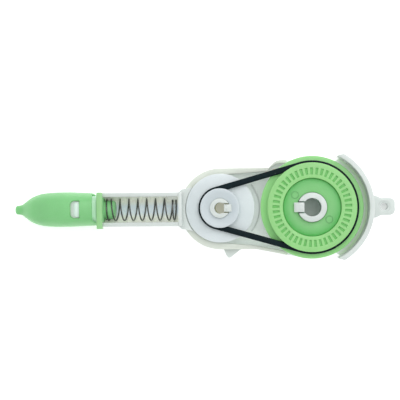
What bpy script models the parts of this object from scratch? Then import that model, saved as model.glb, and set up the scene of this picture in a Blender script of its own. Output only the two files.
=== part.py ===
"""Refill cartridge of a pen-shaped correction tape, lying on its back plate.

World frame: metres, +Z up. X runs along the cartridge, tip towards -X and tail eyelet towards +X.
The origin is the middle of the bounding box's underside, and both reel axes stand on the line Y = 0.
All dimensions below are millimetres and are scaled by MM when a mesh is made.
"""

import math

import bmesh
import bpy
from mathutils import Matrix, Vector

MM = 0.001
UP = Vector((0.0, 0.0, 1.0))
SMOOTH_ANGLE = math.radians(35)

# Overall size and reel positions
LENGTH = 110.8
TAIL_X = LENGTH / 2
SUPPLY_X = 31.3
TAKE_UP_X = 4.9
REEL_SPACING = SUPPLY_X - TAKE_UP_X

# Levels above the back face
PLATE_T = 1.0
REEL_FOOT_Z = 1.15
TAPE_LOW_Z = 1.2
TAPE_HIGH_Z = 6.2
ROLL_Z = (1.25, 6.2)
WALL_TOP_Z = 5.6
FLANGE_LOW_Z = 6.5
GROOVE_LOW_Z = 7.3
GROOVE_HIGH_Z = 9.1
RIM_TOP_Z = 10.4
POST_TOP_Z = 10.9
GUARD_TOP_Z = 11.0
NECK_TOP_Z = 13.3

# Frame outline
BODY_R = 11.8
BODY_ARC_Y = -0.2
WALL_T = 1.0
ARC_WALL_T = 1.9
ARC_WALL_ANGLES = (100.0, 260.0)
WALL_INSET = 0.02
OVERLAP = 0.2
BAY_CLEARANCE = 0.2
FLANGE_BAY_R = 10.15
FLANGE_BAY_LOW_Z = 6.2
PLATE_REEL_R = 14.3
GUARD_OUTER_R = 17.7
GUARD_INNER_R = 16.36
GUARD_HALF_ANGLE = 64.0
GUARD_CORNER_ANGLE = 5.0
BUMP = ((18.9, 11.6), (20.0, 12.7), (21.2, 13.6), (22.4, 13.85), (25.3, 13.85))
LOWER_EDGE = ((15.0, -12.0), (27.0, -14.4))
WALL_END_X = 24.2
TOOTH = ((5.4, -11.6), (6.2, -13.6), (6.8, -14.5), (7.5, -14.6), (8.1, -14.1), (10.1, -12.5), (11.6, -11.6))
TOOTH_TOP_Z = 2.5
RIB_R = 11.2
RIB_T = 0.4
RIB_TOP_Z = 1.5
RIB_HALF_ANGLE = 38.0

# Tail eyelet
LUG_HALF_WIDTH = 2.5
LUG_CORNER_R = 1.5
LUG_HOLE_X = 52.3
LUG_HOLE_R = 1.05
LUG_HOLE_SIDES = 24
LUG_TOP_Z = 3.2
LUG_ROOT_X = 47.6
LUG_FLARE = ((49.3, 3.35), (50.6, 2.95), (51.2, 2.5))

# Neck with its spring channel and, beneath, the tape tunnel
NECK_Y = -0.2
NECK_HALF_WIDTH = 4.85
NECK_FRONT_X = -30.2
NECK_BACK_X = -5.9
CHANNEL_R = 3.65
CHANNEL_AXIS_Z = 10.65
CHANNEL_FRONT_X = -30.6
CHANNEL_BACK_X = -7.0
TUNNEL_HALF_WIDTH = 3.4
TUNNEL_ROOF_Z = 6.4
TUNNEL_MOUTH_BACK_X = -3.3
TUNNEL_PILLAR_HALF_WIDTH = 1.3
SHOULDER = ((-7.4, -0.2), (-6.4, 0.9), (-3.6, 1.4))
SHOULDER_TOP_Z = 6.9
SPRING_TAB_X = (-10.0, -6.8)
SPRING_TAB_Y = (2.55, 3.6)
SPRING_TAB_Z = (12.5, 12.95)

# Nose block under the cap
NOSE_FRONT_X = -39.0
NOSE_HALF_WIDTH = 3.85
NOSE_LOW_Z = 1.4
NOSE_HIGH_Z = 12.1
NOSE_CHAMFER = 1.6
CATCH_SECTION = ((-37.4, 11.6), (-35.4, 11.6), (-35.4, 12.35), (-36.6, 12.3), (-37.4, 11.95))
CATCH_HALF_WIDTH = 2.2

# Posts and their snap fingers
SUPPLY_POST_R = 4.18
SUPPLY_POST_HOLE_R = 2.63
SUPPLY_FINGER_HALF_WIDTH = 1.38
SUPPLY_FINGER_REACH = 5.2
TAKE_UP_POST_R = 2.8
TAKE_UP_POST_HOLE_R = 1.6
TAKE_UP_FINGER_HALF_WIDTH = 1.05
TAKE_UP_FINGER_REACH = 3.35
SLIT_W = 0.35
SLIT_LOW_Z = 5.0
FINGER_LOW_Z = 9.75
TAKE_UP_FINGER_LOW_Z = 10.15
RUNNING_GAP = 0.15
SLIT_OVERRUN = 0.3
HOOK_INSET = 0.01
SLIT_START_SHARE = 0.6

# Supply side
PULLEY_FLANGE_R = 14.8
PULLEY_RIM_R = 12.8
PULLEY_GROOVE_R = 11.55
PULLEY_BORE_R = 8.35
PULLEY_LIP_R = 7.5
PULLEY_LIP_TOP_Z = 7.2
SLOT_COUNT = 45
SLOT_R = (9.35, 11.35)
SLOT_W = 0.75
SLOT_DEPTH = 0.45
SLOT_PHASE = math.radians(2.5)
DRUM_R = 6.9
HUB_R = 7.2
HUB_LOW_Z = 6.4
HUB_PLATE_R = 8.15
HUB_PLATE_Z = (8.6, 9.2)
CLUTCH_RING_R = (7.35, 8.2)
CLUTCH_RING_Z = (7.35, 8.45)
SUPPLY_ROLL_R = (7.05, 13.9)

# Take-up side
TAKE_UP_DRUM_R = 3.7
TAKE_UP_FLANGE_R = 9.95
TAKE_UP_GROOVE_R = 4.5
TAKE_UP_HUB_R = 5.68
TAKE_UP_HUB_Z = 10.0
TAKE_UP_DISH_Z = 9.75
TAKE_UP_DISH_R = (4.1, 4.8)
TAKE_UP_ROLL_R = (3.8, 4.7)

# Belt
BELT_SUPPLY_R = 12.5
BELT_TAKE_UP_R = 5.4
BELT_T = 1.7
BELT_Z = (7.45, 8.95)

# Tape runs
TAPE_T = 0.2
TAPE_MOUTH_X = -6.2
TAPE_MOUTH_Y = 2.35
TAPE_BLADE_X = -39.0
TAPE_BLADE_Y = 1.75
TAPE_TIP_X = -51.2
TAPE_TIP_Y = 0.62
TAPE_END_GAP = 0.3
TAPE_ROLL_GAP = 0.2

# Return spring and sliding collar
SPRING_Z = 10.45
SPRING_R = 3.09
WIRE_R = 0.21
SPRING_X = (-28.2, -7.2)
SPRING_OPEN_TURNS = 7.0
SPRING_CLOSED_TURNS = 1.3
SPRING_CLOSED_PITCH = 1.0
SPRING_TOP_TURN = 1.43
SPRING_STEPS_PER_TURN = 14
COLLAR_X = (-30.1, -28.45)
COLLAR_Y = (-5.6, 4.78)
COLLAR_BAR_Z = (13.55, 14.9)
COLLAR_LEG_T = 0.35
COLLAR_LEG_LOW_Z = 11.6
COLLAR_PLATE_BACK_X = -28.25
COLLAR_PLATE_R = 3.4
COLLAR_INSET = 0.01
BOSS_SIDES = 24
BOSS_STATIONS = ((-28.45, 2.7), (-26.1, 2.7), (-25.6, 2.45), (-25.2, 1.8), (-25.05, 1.0))

# Applicator head
HEAD_BACK_X = -33.0
HEAD_STEM_HALF_WIDTH = 1.1
HEAD_ROOT_X = -39.6
HEAD_ROOT_HALF_WIDTH = 1.45
HEAD_EDGE_X = -50.9
HEAD_EDGE_R = 0.35
HEAD_STEM_Z = (1.3, 6.1)
HEAD_BLADE_Z = (1.0, 6.4)
GUIDE_HALF_WIDTH = 2.5
GUIDE_EDGE_HALF_WIDTH = 1.0
GUIDE_EDGE_X = -49.6
GUIDE_BELOW_Z = (0.85, 1.1)
GUIDE_ABOVE_Z = (6.3, 6.7)

# Head cap: stations along X as (x, half width, underside z, top z)
CAP_STATIONS = (
    (-55.4, 0.5, 3.9, 4.9),
    (-55.2, 1.02, 3.4, 5.4),
    (-54.8, 1.3, 3.1, 5.7),
    (-54.3, 1.33, 3.1, 5.7),
    (-53.7, 1.42, 3.0, 5.8),
    (-53.1, 1.68, 2.75, 6.1),
    (-52.6, 2.06, 1.8, 6.7),
    (-52.0, 2.52, 1.0, 7.4),
    (-51.2, 3.05, 0.5, 8.3),
    (-50.3, 3.6, 0.2, 9.1),
    (-49.4, 4.0, 0.1, 9.8),
    (-48.0, 4.46, 0.03, 10.5),
    (-46.5, 4.76, 0.0, 11.3),
    (-44.6, 4.94, 0.0, 12.0),
    (-41.9, 5.03, 0.0, 12.8),
    (-39.0, 5.03, 0.0, 13.25),
    (-35.5, 4.9, 0.0, 13.3),
    (-30.6, 4.72, 0.0, 13.3),
)
CAP_CAVITY_STATIONS = (
    (-51.85, 1.2, 1.3, 6.7),
    (-50.6, 2.4, 0.75, 7.7),
    (-48.6, 3.4, 0.7, 8.9),
    (-45.0, 4.1, 0.62, 10.6),
    (-41.0, 4.3, 0.6, 12.2),
    (-38.5, 4.3, 0.6, 12.5),
    (-29.7, 4.15, 0.6, 12.5),
)
CAP_ROUNDNESS = 2.7
CAP_CAVITY_ROUNDNESS = 4.0
CAP_SIDES = 36
CAP_REAR = (
    (-32.4, 5.3),
    (-32.4, 4.68),
    (-31.75, 3.95),
    (-31.75, -3.1),
    (-31.3, -3.6),
    (-30.5, -4.0),
    (-30.2, -4.1),
    (-30.2, 5.3),
)
WINDOW_X = (-37.9, -35.25)
WINDOW_HALF_WIDTH = 2.55
WINDOW_CORNER_R = 1.3
WINDOW_LOW_Z = 11.0

REEL_SIDES = 60
POST_SIDES = 30
ARC_STEP = 7.5

COLOURS = {
    "white_plastic": ((0.80, 0.83, 0.82), 0.42),
    "green_plastic": ((0.27, 0.60, 0.27), 0.40),
    "reel_plastic": ((0.74, 0.79, 0.81), 0.35),
    "belt_rubber": ((0.012, 0.020, 0.024), 0.60),
    "clutch_silicone": ((0.55, 0.56, 0.53), 0.55),
    "spring_steel": ((0.55, 0.55, 0.54), 0.25),
    "correction_tape": ((0.86, 0.86, 0.84), 0.65),
    "used_tape": ((0.72, 0.75, 0.74), 0.30),
    "head_plastic": ((0.82, 0.84, 0.82), 0.38),
}
METALS = ("spring_steel",)


def clear_scene():
    for item in list(bpy.data.objects):
        bpy.data.objects.remove(item, do_unlink=True)


def make_materials():
    materials = {}
    for name, (colour, roughness) in COLOURS.items():
        material = bpy.data.materials.new(name)
        material.use_nodes = True
        shader = material.node_tree.nodes["Principled BSDF"]
        shader.inputs["Base Color"].default_value = (*colour, 1.0)
        shader.inputs["Roughness"].default_value = roughness
        shader.inputs["Metallic"].default_value = 1.0 if name in METALS else 0.0
        materials[name] = material
    return materials


def finish(shape):
    """Drop doubled points and turn every face outwards."""
    bmesh.ops.remove_doubles(shape, verts=shape.verts, dist=1e-4 * MM)
    bmesh.ops.recalc_face_normals(shape, faces=shape.faces)
    return shape


def place(name, shape, material=None, x=0.0):
    """An object from a bmesh, its origin at (x, 0, 0). Without a material it is a hidden tool."""
    mesh = bpy.data.meshes.new(name)
    shape.to_mesh(mesh)
    shape.free()
    mesh.shade_smooth()
    mesh.set_sharp_from_angle(angle=SMOOTH_ANGLE)
    item = bpy.data.objects.new(name, mesh)
    item.location = (x * MM, 0.0, 0.0)
    bpy.context.scene.collection.objects.link(item)
    if material is None:
        item.hide_render = True
        item.display_type = "WIRE"
    else:
        mesh.materials.append(material)
    return item


def combine(target, tool, operation):
    boolean = target.modifiers.new(f"{operation.lower()}_{tool.name}", "BOOLEAN")
    boolean.operation = operation
    boolean.solver = "EXACT"
    boolean.object = tool


def join(target, name, shape, x=0.0):
    combine(target, place(f"join_{name}", shape, x=x), "UNION")


def cut(target, name, shape, x=0.0):
    combine(target, place(f"cut_{name}", shape, x=x), "DIFFERENCE")


def arc(centre, radius, start, end):
    """Points on an arc from one angle to another, in degrees."""
    steps = max(2, math.ceil(abs(end - start) / ARC_STEP))
    points = []
    for i in range(steps + 1):
        angle = math.radians(start + (end - start) * i / steps)
        points.append((centre[0] + radius * math.cos(angle), centre[1] + radius * math.sin(angle)))
    return points


def prism(outline, low, high):
    """An outline in the XY plane made solid between two heights."""
    shape = bmesh.new()
    base = [shape.verts.new((x * MM, y * MM, low * MM)) for x, y in outline]
    face = shape.faces.new(base)
    top = bmesh.ops.extrude_face_region(shape, geom=[face])["geom"]
    moved = [item for item in top if isinstance(item, bmesh.types.BMVert)]
    bmesh.ops.translate(shape, verts=moved, vec=UP * (high - low) * MM)
    return finish(shape)


def block(x_span, y_span, z_span):
    corners = (
        (x_span[0], y_span[0]),
        (x_span[1], y_span[0]),
        (x_span[1], y_span[1]),
        (x_span[0], y_span[1]),
    )
    return prism(corners, *z_span)


def lofted(rings, closed):
    """Faces between rings of equal count. closed joins the last ring to the first."""
    shape = bmesh.new()
    loops = [[shape.verts.new(Vector(point) * MM) for point in ring] for ring in rings]
    pairs = list(zip(loops, loops[1:], strict=False))
    if closed:
        pairs.append((loops[-1], loops[0]))
    else:
        shape.faces.new(loops[0])
        shape.faces.new(loops[-1])
    for first, second in pairs:
        for i, vert in enumerate(first):
            after = (i + 1) % len(first)
            shape.faces.new((vert, first[after], second[after], second[i]))
    return finish(shape)


def turned(profile, sides=REEL_SIDES):
    """A ring from a closed (radius, height) profile about the Z axis."""
    rings = []
    for radius, z in profile:
        ring = []
        for i in range(sides):
            angle = math.tau * i / sides
            ring.append((radius * math.cos(angle), radius * math.sin(angle), z))
        rings.append(ring)
    return lofted(rings, closed=True)


def rod(radius, low, high, sides=POST_SIDES):
    return prism(round_section(radius, sides), low, high)


def strip(path, half_width, low, high):
    """A flat band that follows an open path."""
    left = []
    right = []
    for i, point in enumerate(path):
        before = Vector(path[max(i - 1, 0)])
        after = Vector(path[min(i + 1, len(path) - 1)])
        along = (after - before).normalized()
        across = Vector((-along.y, along.x)) * half_width
        left.append(tuple(Vector(point) + across))
        right.append(tuple(Vector(point) - across))
    return prism(left + right[::-1], low, high)


def body_path(inset, arc_inset, arc_angles):
    """The edge of the body from the upper bump round the take-up reel to the lower edge, drawn inwards."""
    centre = (TAKE_UP_X, BODY_ARC_Y)
    upper = [(x - inset * 0.5, y - inset) for x, y in BUMP if x < WALL_END_X]
    lower = [(x, y + inset) for x, y in LOWER_EDGE]
    share = (WALL_END_X - lower[0][0]) / (lower[1][0] - lower[0][0])
    lower[1] = (WALL_END_X, lower[0][1] + share * (lower[1][1] - lower[0][1]))
    upper_end = (WALL_END_X, BUMP[-1][1] - inset)
    return [upper_end, *upper[::-1], *arc(centre, BODY_R - arc_inset, *arc_angles), *lower]


def plate_outline():
    """The back plate: body edge, a round bay under the supply pulley, and the guard's floor."""
    axis = (SUPPLY_X, 0.0)
    bay_top = math.degrees(math.atan2(BUMP[-1][1], BUMP[-1][0] - SUPPLY_X))
    bay_low = math.degrees(math.atan2(LOWER_EDGE[-1][1], LOWER_EDGE[-1][0] - SUPPLY_X))
    edge = [*BUMP[::-1], *arc((TAKE_UP_X, BODY_ARC_Y), BODY_R, 90.0, 270.0), *LOWER_EDGE]
    lower_bay = arc(axis, PLATE_REEL_R, bay_low + 3.0, -GUARD_HALF_ANGLE)
    guard_middle = (GUARD_OUTER_R + GUARD_INNER_R) / 2
    guard_end = GUARD_HALF_ANGLE - GUARD_CORNER_ANGLE
    guard = arc(axis, guard_middle, -guard_end, guard_end)
    upper_bay = arc(axis, PLATE_REEL_R, GUARD_HALF_ANGLE, bay_top - 3.0)
    return edge + lower_bay + guard + upper_bay


def chamfered(x_span, half_width, z_span, chamfer):
    """A bar along X whose cross-section has its four corners cut off."""
    low, high = z_span
    section = (
        (-half_width, low + chamfer),
        (-half_width + chamfer, low),
        (half_width - chamfer, low),
        (half_width, low + chamfer),
        (half_width, high - chamfer),
        (half_width - chamfer, high),
        (-half_width + chamfer, high),
        (-half_width, high - chamfer),
    )
    return lofted([[(x, y, z) for y, z in section] for x in x_span], closed=False)


def neck_sides(half_width):
    return (NECK_Y - half_width, NECK_Y + half_width)


def add_neck(frame):
    """The neck, the nose under the cap, and the shoulders, hollowed round the take-up reel."""
    neck = block((NECK_FRONT_X, NECK_BACK_X), neck_sides(NECK_HALF_WIDTH), (0.0, NECK_TOP_Z))
    join(frame, "neck", neck)
    nose_x = (NOSE_FRONT_X, NECK_FRONT_X + OVERLAP)
    join(frame, "nose", chamfered(nose_x, NOSE_HALF_WIDTH, (NOSE_LOW_Z, NOSE_HIGH_Z), NOSE_CHAMFER))
    catch = [[(x, y, z) for x, z in CATCH_SECTION] for y in (-CATCH_HALF_WIDTH, CATCH_HALF_WIDTH)]
    join(frame, "cap_catch", lofted(catch, closed=False))
    low_side = [(x, NECK_Y - NECK_HALF_WIDTH - out) for x, out in SHOULDER]
    high_side = [(x, NECK_Y + NECK_HALF_WIDTH + out) for x, out in SHOULDER]
    join(frame, "shoulder", prism(low_side + high_side[::-1], 0.0, SHOULDER_TOP_Z))
    centre = (TAKE_UP_X, BODY_ARC_Y)
    reel_bay = arc(centre, BODY_R - ARC_WALL_T + BAY_CLEARANCE, 0.0, 360.0 - ARC_STEP)
    cut(frame, "reel_bay", prism(reel_bay, PLATE_T, FLANGE_BAY_LOW_Z + OVERLAP))
    flange_bay = arc(centre, FLANGE_BAY_R, 0.0, 360.0 - ARC_STEP)
    cut(frame, "flange_bay", prism(flange_bay, FLANGE_BAY_LOW_Z, NECK_TOP_Z + 1.0))


def trough(x_span, radius):
    """A bar along X with a round bottom, open above the neck."""
    top_z = NECK_TOP_Z + 1.0
    section = arc((NECK_Y, CHANNEL_AXIS_Z), radius, 180.0, 360.0)
    section += [(NECK_Y + radius, top_z), (NECK_Y - radius, top_z)]
    return lofted([[(x, y, z) for y, z in section] for x in x_span], closed=False)


def hollow_neck(frame):
    """The spring channel above, the tape tunnel below, and the tunnel's mouths into the tray."""
    cut(frame, "spring_channel", trough((CHANNEL_FRONT_X, CHANNEL_BACK_X), CHANNEL_R))
    tunnel_x = (NOSE_FRONT_X - 1.0, CHANNEL_BACK_X - OVERLAP)
    cut(frame, "tape_tunnel", block(tunnel_x, neck_sides(TUNNEL_HALF_WIDTH), (-1.0, TUNNEL_ROOF_Z)))
    mouth_x = (CHANNEL_BACK_X - 1.0, TUNNEL_MOUTH_BACK_X)
    for side in (-1, 1):
        edges = sorted((NECK_Y + side * TUNNEL_PILLAR_HALF_WIDTH, NECK_Y + side * TUNNEL_HALF_WIDTH))
        cut(frame, f"tunnel_mouth_{side}", block(mouth_x, edges, (PLATE_T, TUNNEL_ROOF_Z)))
    join(frame, "spring_tab", block(SPRING_TAB_X, SPRING_TAB_Y, SPRING_TAB_Z))


def add_post(frame, name, x, radius, hole_radius, finger_half_width, reach, finger_low, side):
    """A hollow post with one snap finger; side is the way the finger's hook points along X."""
    join(frame, f"{name}_post", rod(radius, OVERLAP, POST_TOP_Z), x=x)
    hook_x = sorted((side * (hole_radius + OVERLAP), side * reach))
    hook_y = (-finger_half_width, finger_half_width)
    join(frame, f"{name}_hook", block(hook_x, hook_y, (finger_low, POST_TOP_Z - HOOK_INSET)), x=x)
    cut(frame, f"{name}_post_hole", rod(hole_radius, -1.0, POST_TOP_Z + 1.0), x=x)
    slit_x = sorted((side * hole_radius * SLIT_START_SHARE, side * (radius + SLIT_OVERRUN)))
    for edge in (-1, 1):
        slit_y = sorted((edge * finger_half_width, edge * (finger_half_width + SLIT_W)))
        slit = block(slit_x, slit_y, (SLIT_LOW_Z, POST_TOP_Z + 1.0))
        cut(frame, f"{name}_slit_{'low' if edge < 0 else 'high'}", slit, x=x)


def add_guard(frame):
    half = GUARD_HALF_ANGLE
    outer_half = half - GUARD_CORNER_ANGLE
    outer = arc((0.0, 0.0), GUARD_OUTER_R, -outer_half, outer_half)
    inner = arc((0.0, 0.0), GUARD_INNER_R, half, -half)
    join(frame, "guard", prism(outer + inner, 0.0, GUARD_TOP_Z), x=SUPPLY_X)


def add_lug(frame):
    corner_x = TAIL_X - LUG_CORNER_R
    corner_y = LUG_HALF_WIDTH - LUG_CORNER_R
    flare = [(LUG_ROOT_X, LUG_FLARE[0][1]), *LUG_FLARE]
    outline = [
        *((x, -y) for x, y in flare),
        *arc((corner_x, -corner_y), LUG_CORNER_R, -90.0, 0.0),
        *arc((corner_x, corner_y), LUG_CORNER_R, 0.0, 90.0),
        *flare[::-1],
    ]
    join(frame, "lug", prism(outline, 0.0, LUG_TOP_Z))
    cut(frame, "lug_hole", rod(LUG_HOLE_R, -1.0, LUG_TOP_Z + 1.0, LUG_HOLE_SIDES), x=LUG_HOLE_X)


def make_frame(materials):
    frame = place("frame", prism(plate_outline(), 0.0, PLATE_T), materials["white_plastic"])
    add_neck(frame)
    outside = body_path(WALL_INSET, WALL_INSET, (90.0, 270.0))
    inside = body_path(WALL_T, ARC_WALL_T, ARC_WALL_ANGLES)
    join(frame, "perimeter_wall", prism(outside + inside[::-1], OVERLAP, WALL_TOP_Z))
    hollow_neck(frame)
    join(frame, "tooth", prism(TOOTH, 0.0, TOOTH_TOP_Z))
    add_guard(frame)
    add_lug(frame)
    rib = arc((0.0, 0.0), RIB_R + RIB_T / 2, -RIB_HALF_ANGLE, RIB_HALF_ANGLE)
    rib += arc((0.0, 0.0), RIB_R - RIB_T / 2, RIB_HALF_ANGLE, -RIB_HALF_ANGLE)
    join(frame, "floor_rib", prism(rib, PLATE_T - OVERLAP, RIB_TOP_Z), x=TAKE_UP_X)
    add_post(
        frame,
        "supply",
        SUPPLY_X,
        SUPPLY_POST_R,
        SUPPLY_POST_HOLE_R,
        SUPPLY_FINGER_HALF_WIDTH,
        SUPPLY_FINGER_REACH,
        FINGER_LOW_Z,
        -1,
    )
    add_post(
        frame,
        "take_up",
        TAKE_UP_X,
        TAKE_UP_POST_R,
        TAKE_UP_POST_HOLE_R,
        TAKE_UP_FINGER_HALF_WIDTH,
        TAKE_UP_FINGER_REACH,
        TAKE_UP_FINGER_LOW_Z,
        1,
    )


def ring_slots():
    """The face slots of the pulley as one set of separate cutters."""
    shape = bmesh.new()
    middle = (SLOT_R[0] + SLOT_R[1]) / 2
    size = Vector((SLOT_R[1] - SLOT_R[0], SLOT_W, 2 * SLOT_DEPTH)) * MM
    for i in range(SLOT_COUNT):
        made = bmesh.ops.create_cube(shape, size=1.0)["verts"]
        bmesh.ops.scale(shape, vec=size, verts=made)
        bmesh.ops.translate(shape, vec=Vector((middle, 0.0, RIM_TOP_Z)) * MM, verts=made)
        turn = Matrix.Rotation(math.tau * i / SLOT_COUNT + SLOT_PHASE, 4, "Z")
        bmesh.ops.transform(shape, matrix=turn, verts=made)
    return shape


def make_supply_side(materials):
    pulley = [
        (PULLEY_LIP_R, FLANGE_LOW_Z),
        (PULLEY_FLANGE_R, FLANGE_LOW_Z),
        (PULLEY_FLANGE_R, GROOVE_LOW_Z),
        (PULLEY_GROOVE_R, GROOVE_LOW_Z),
        (PULLEY_GROOVE_R, GROOVE_HIGH_Z),
        (PULLEY_RIM_R, GROOVE_HIGH_Z),
        (PULLEY_RIM_R, RIM_TOP_Z),
        (PULLEY_BORE_R, RIM_TOP_Z),
        (PULLEY_BORE_R, PULLEY_LIP_TOP_Z),
        (PULLEY_LIP_R, PULLEY_LIP_TOP_Z),
    ]
    wheel = place("supply_pulley", turned(pulley), materials["green_plastic"], SUPPLY_X)
    cut(wheel, "face_slots", ring_slots(), x=SUPPLY_X)

    bore = SUPPLY_POST_R + RUNNING_GAP
    core = [
        (bore, REEL_FOOT_Z),
        (DRUM_R, REEL_FOOT_Z),
        (DRUM_R, HUB_LOW_Z),
        (HUB_R, HUB_LOW_Z),
        (HUB_R, HUB_PLATE_Z[0]),
        (HUB_PLATE_R, HUB_PLATE_Z[0]),
        (HUB_PLATE_R, HUB_PLATE_Z[1]),
        (bore, HUB_PLATE_Z[1]),
    ]
    place("supply_core", turned(core), materials["green_plastic"], SUPPLY_X)
    place("clutch_ring", band_ring(CLUTCH_RING_R, CLUTCH_RING_Z), materials["clutch_silicone"], SUPPLY_X)
    place("supply_tape_roll", band_ring(SUPPLY_ROLL_R, ROLL_Z), materials["correction_tape"], SUPPLY_X)


def band_ring(radii, heights):
    """A plain ring of rectangular section about the Z axis."""
    (inner, outer), (low, high) = radii, heights
    return turned([(inner, low), (outer, low), (outer, high), (inner, high)])


def make_take_up_side(materials):
    bore = TAKE_UP_POST_R + RUNNING_GAP
    reel = [
        (bore, REEL_FOOT_Z),
        (TAKE_UP_DRUM_R, REEL_FOOT_Z),
        (TAKE_UP_DRUM_R, FLANGE_LOW_Z),
        (TAKE_UP_FLANGE_R, FLANGE_LOW_Z),
        (TAKE_UP_FLANGE_R, GROOVE_LOW_Z),
        (TAKE_UP_GROOVE_R, GROOVE_LOW_Z),
        (TAKE_UP_GROOVE_R, GROOVE_HIGH_Z),
        (TAKE_UP_HUB_R, GROOVE_HIGH_Z),
        (TAKE_UP_HUB_R, TAKE_UP_HUB_Z),
        (TAKE_UP_DISH_R[1], TAKE_UP_HUB_Z),
        (TAKE_UP_DISH_R[0], TAKE_UP_DISH_Z),
        (bore, TAKE_UP_DISH_Z),
    ]
    place("take_up_reel", turned(reel), materials["reel_plastic"], TAKE_UP_X)
    place("take_up_tape_roll", band_ring(TAKE_UP_ROLL_R, ROLL_Z), materials["used_tape"], TAKE_UP_X)


def belt_loop(offset):
    """The belt's path round both reels, offset outwards; straight where it runs free."""
    lean = math.degrees(math.asin((BELT_SUPPLY_R - BELT_TAKE_UP_R) / REEL_SPACING))
    supply = arc((SUPPLY_X, 0.0), BELT_SUPPLY_R + offset, -90.0 - lean, 90.0 + lean)
    take_up = arc((TAKE_UP_X, 0.0), BELT_TAKE_UP_R + offset, 90.0 + lean, 270.0 - lean)
    return supply + take_up


def make_belt(materials):
    low, high = BELT_Z
    sections = ((-BELT_T / 2, low), (BELT_T / 2, low), (BELT_T / 2, high), (-BELT_T / 2, high))
    rings = [[(x, y, z) for x, y in belt_loop(offset)] for offset, z in sections]
    place("drive_belt", lofted(rings, closed=True), materials["belt_rubber"])


def tangent_point(start, centre, radius, side):
    """Where a line from start touches a circle; side is +1 for its upper edge, -1 for its lower."""
    away = Vector(centre) - Vector(start)
    heading = math.atan2(away.y, away.x) + side * math.asin(radius / away.length)
    return (centre[0] - side * radius * math.sin(heading), centre[1] + side * radius * math.cos(heading))


def shortened(path, gap):
    """The path with its last point drawn back by a gap."""
    last = Vector(path[-1])
    back = (Vector(path[-2]) - last).normalized() * gap
    return [*path[:-1], tuple(last + back)]


def make_tape_runs(materials):
    """Both runs of tape between the reels and the blade, meeting at the blade's edge."""
    half = TAPE_T / 2
    runs = (
        ("tape_feed_run", 1, SUPPLY_X, SUPPLY_ROLL_R[1] - half, "correction_tape"),
        ("tape_return_run", -1, TAKE_UP_X, TAKE_UP_ROLL_R[1] - half, "used_tape"),
    )
    for name, side, reel_x, roll_r, material in runs:
        tip = (TAPE_TIP_X, side * TAPE_TIP_Y)
        blade = (TAPE_BLADE_X, side * TAPE_BLADE_Y)
        mouth = (TAPE_MOUTH_X, side * TAPE_MOUTH_Y + NECK_Y)
        leave = tangent_point(mouth, (reel_x, 0.0), roll_r + TAPE_ROLL_GAP, side)
        path = shortened([tip, blade, mouth, leave], TAPE_END_GAP)
        place(name, strip(path, half, TAPE_LOW_Z, TAPE_HIGH_Z), materials[material])


def spring_points():
    """Points of the helix: closed turns at each end, open turns between."""
    front, back = SPRING_X
    closed = SPRING_CLOSED_TURNS * SPRING_CLOSED_PITCH
    open_pitch = (back - front - 2 * WIRE_R - 2 * closed) / SPRING_OPEN_TURNS
    turns = SPRING_OPEN_TURNS + 2 * SPRING_CLOSED_TURNS
    points = []
    for i in range(round(turns * SPRING_STEPS_PER_TURN) + 1):
        turn = i / SPRING_STEPS_PER_TURN
        opened = min(max(turn - SPRING_CLOSED_TURNS, 0.0), SPRING_OPEN_TURNS)
        x = front + WIRE_R + opened * open_pitch + (turn - opened) * SPRING_CLOSED_PITCH
        angle = math.tau * (turn - SPRING_TOP_TURN)
        points.append((x, NECK_Y + SPRING_R * math.cos(angle), SPRING_Z + SPRING_R * math.sin(angle)))
    return points


def make_spring(materials):
    curve = bpy.data.curves.new("return_spring", "CURVE")
    curve.dimensions = "3D"
    curve.bevel_depth = WIRE_R * MM
    curve.bevel_resolution = 1
    curve.use_fill_caps = True
    curve.resolution_u = 1
    curve.render_resolution_u = 0
    points = spring_points()
    spline = curve.splines.new("POLY")
    spline.points.add(len(points) - 1)
    for target, point in zip(spline.points, points, strict=True):
        target.co = (*(Vector(point) * MM), 1.0)
    curve.materials.append(materials["spring_steel"])
    spring = bpy.data.objects.new("return_spring", curve)
    bpy.context.scene.collection.objects.link(spring)


def make_collar(materials):
    """The green seat that slides on the neck: a bar over it, a lip outside, a plate and boss within."""
    bar = block(COLLAR_X, COLLAR_Y, COLLAR_BAR_Z)
    collar = place("slide_collar", bar, materials["green_plastic"])
    leg_y = (COLLAR_Y[0], COLLAR_Y[0] + COLLAR_LEG_T)
    join(collar, "leg", block(COLLAR_X, leg_y, (COLLAR_LEG_LOW_Z, COLLAR_BAR_Z[1] - COLLAR_INSET)))
    plate_top = COLLAR_BAR_Z[0] + OVERLAP
    plate = arc((NECK_Y, CHANNEL_AXIS_Z), COLLAR_PLATE_R, 180.0, 360.0)
    plate += [(NECK_Y + COLLAR_PLATE_R, plate_top), (NECK_Y - COLLAR_PLATE_R, plate_top)]
    plate_x = (COLLAR_X[0] + COLLAR_INSET, COLLAR_PLATE_BACK_X)
    join(collar, "plate", lofted([[(x, y, z) for y, z in plate] for x in plate_x], closed=False))
    rings = []
    for x, radius in BOSS_STATIONS:
        rings.append([(x, NECK_Y + y, SPRING_Z + z) for y, z in round_section(radius, BOSS_SIDES)])
    join(collar, "boss", lofted(rings, closed=False))


def round_section(radius, sides):
    angles = [math.tau * i / sides for i in range(sides)]
    return [(radius * math.cos(angle), radius * math.sin(angle)) for angle in angles]


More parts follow.
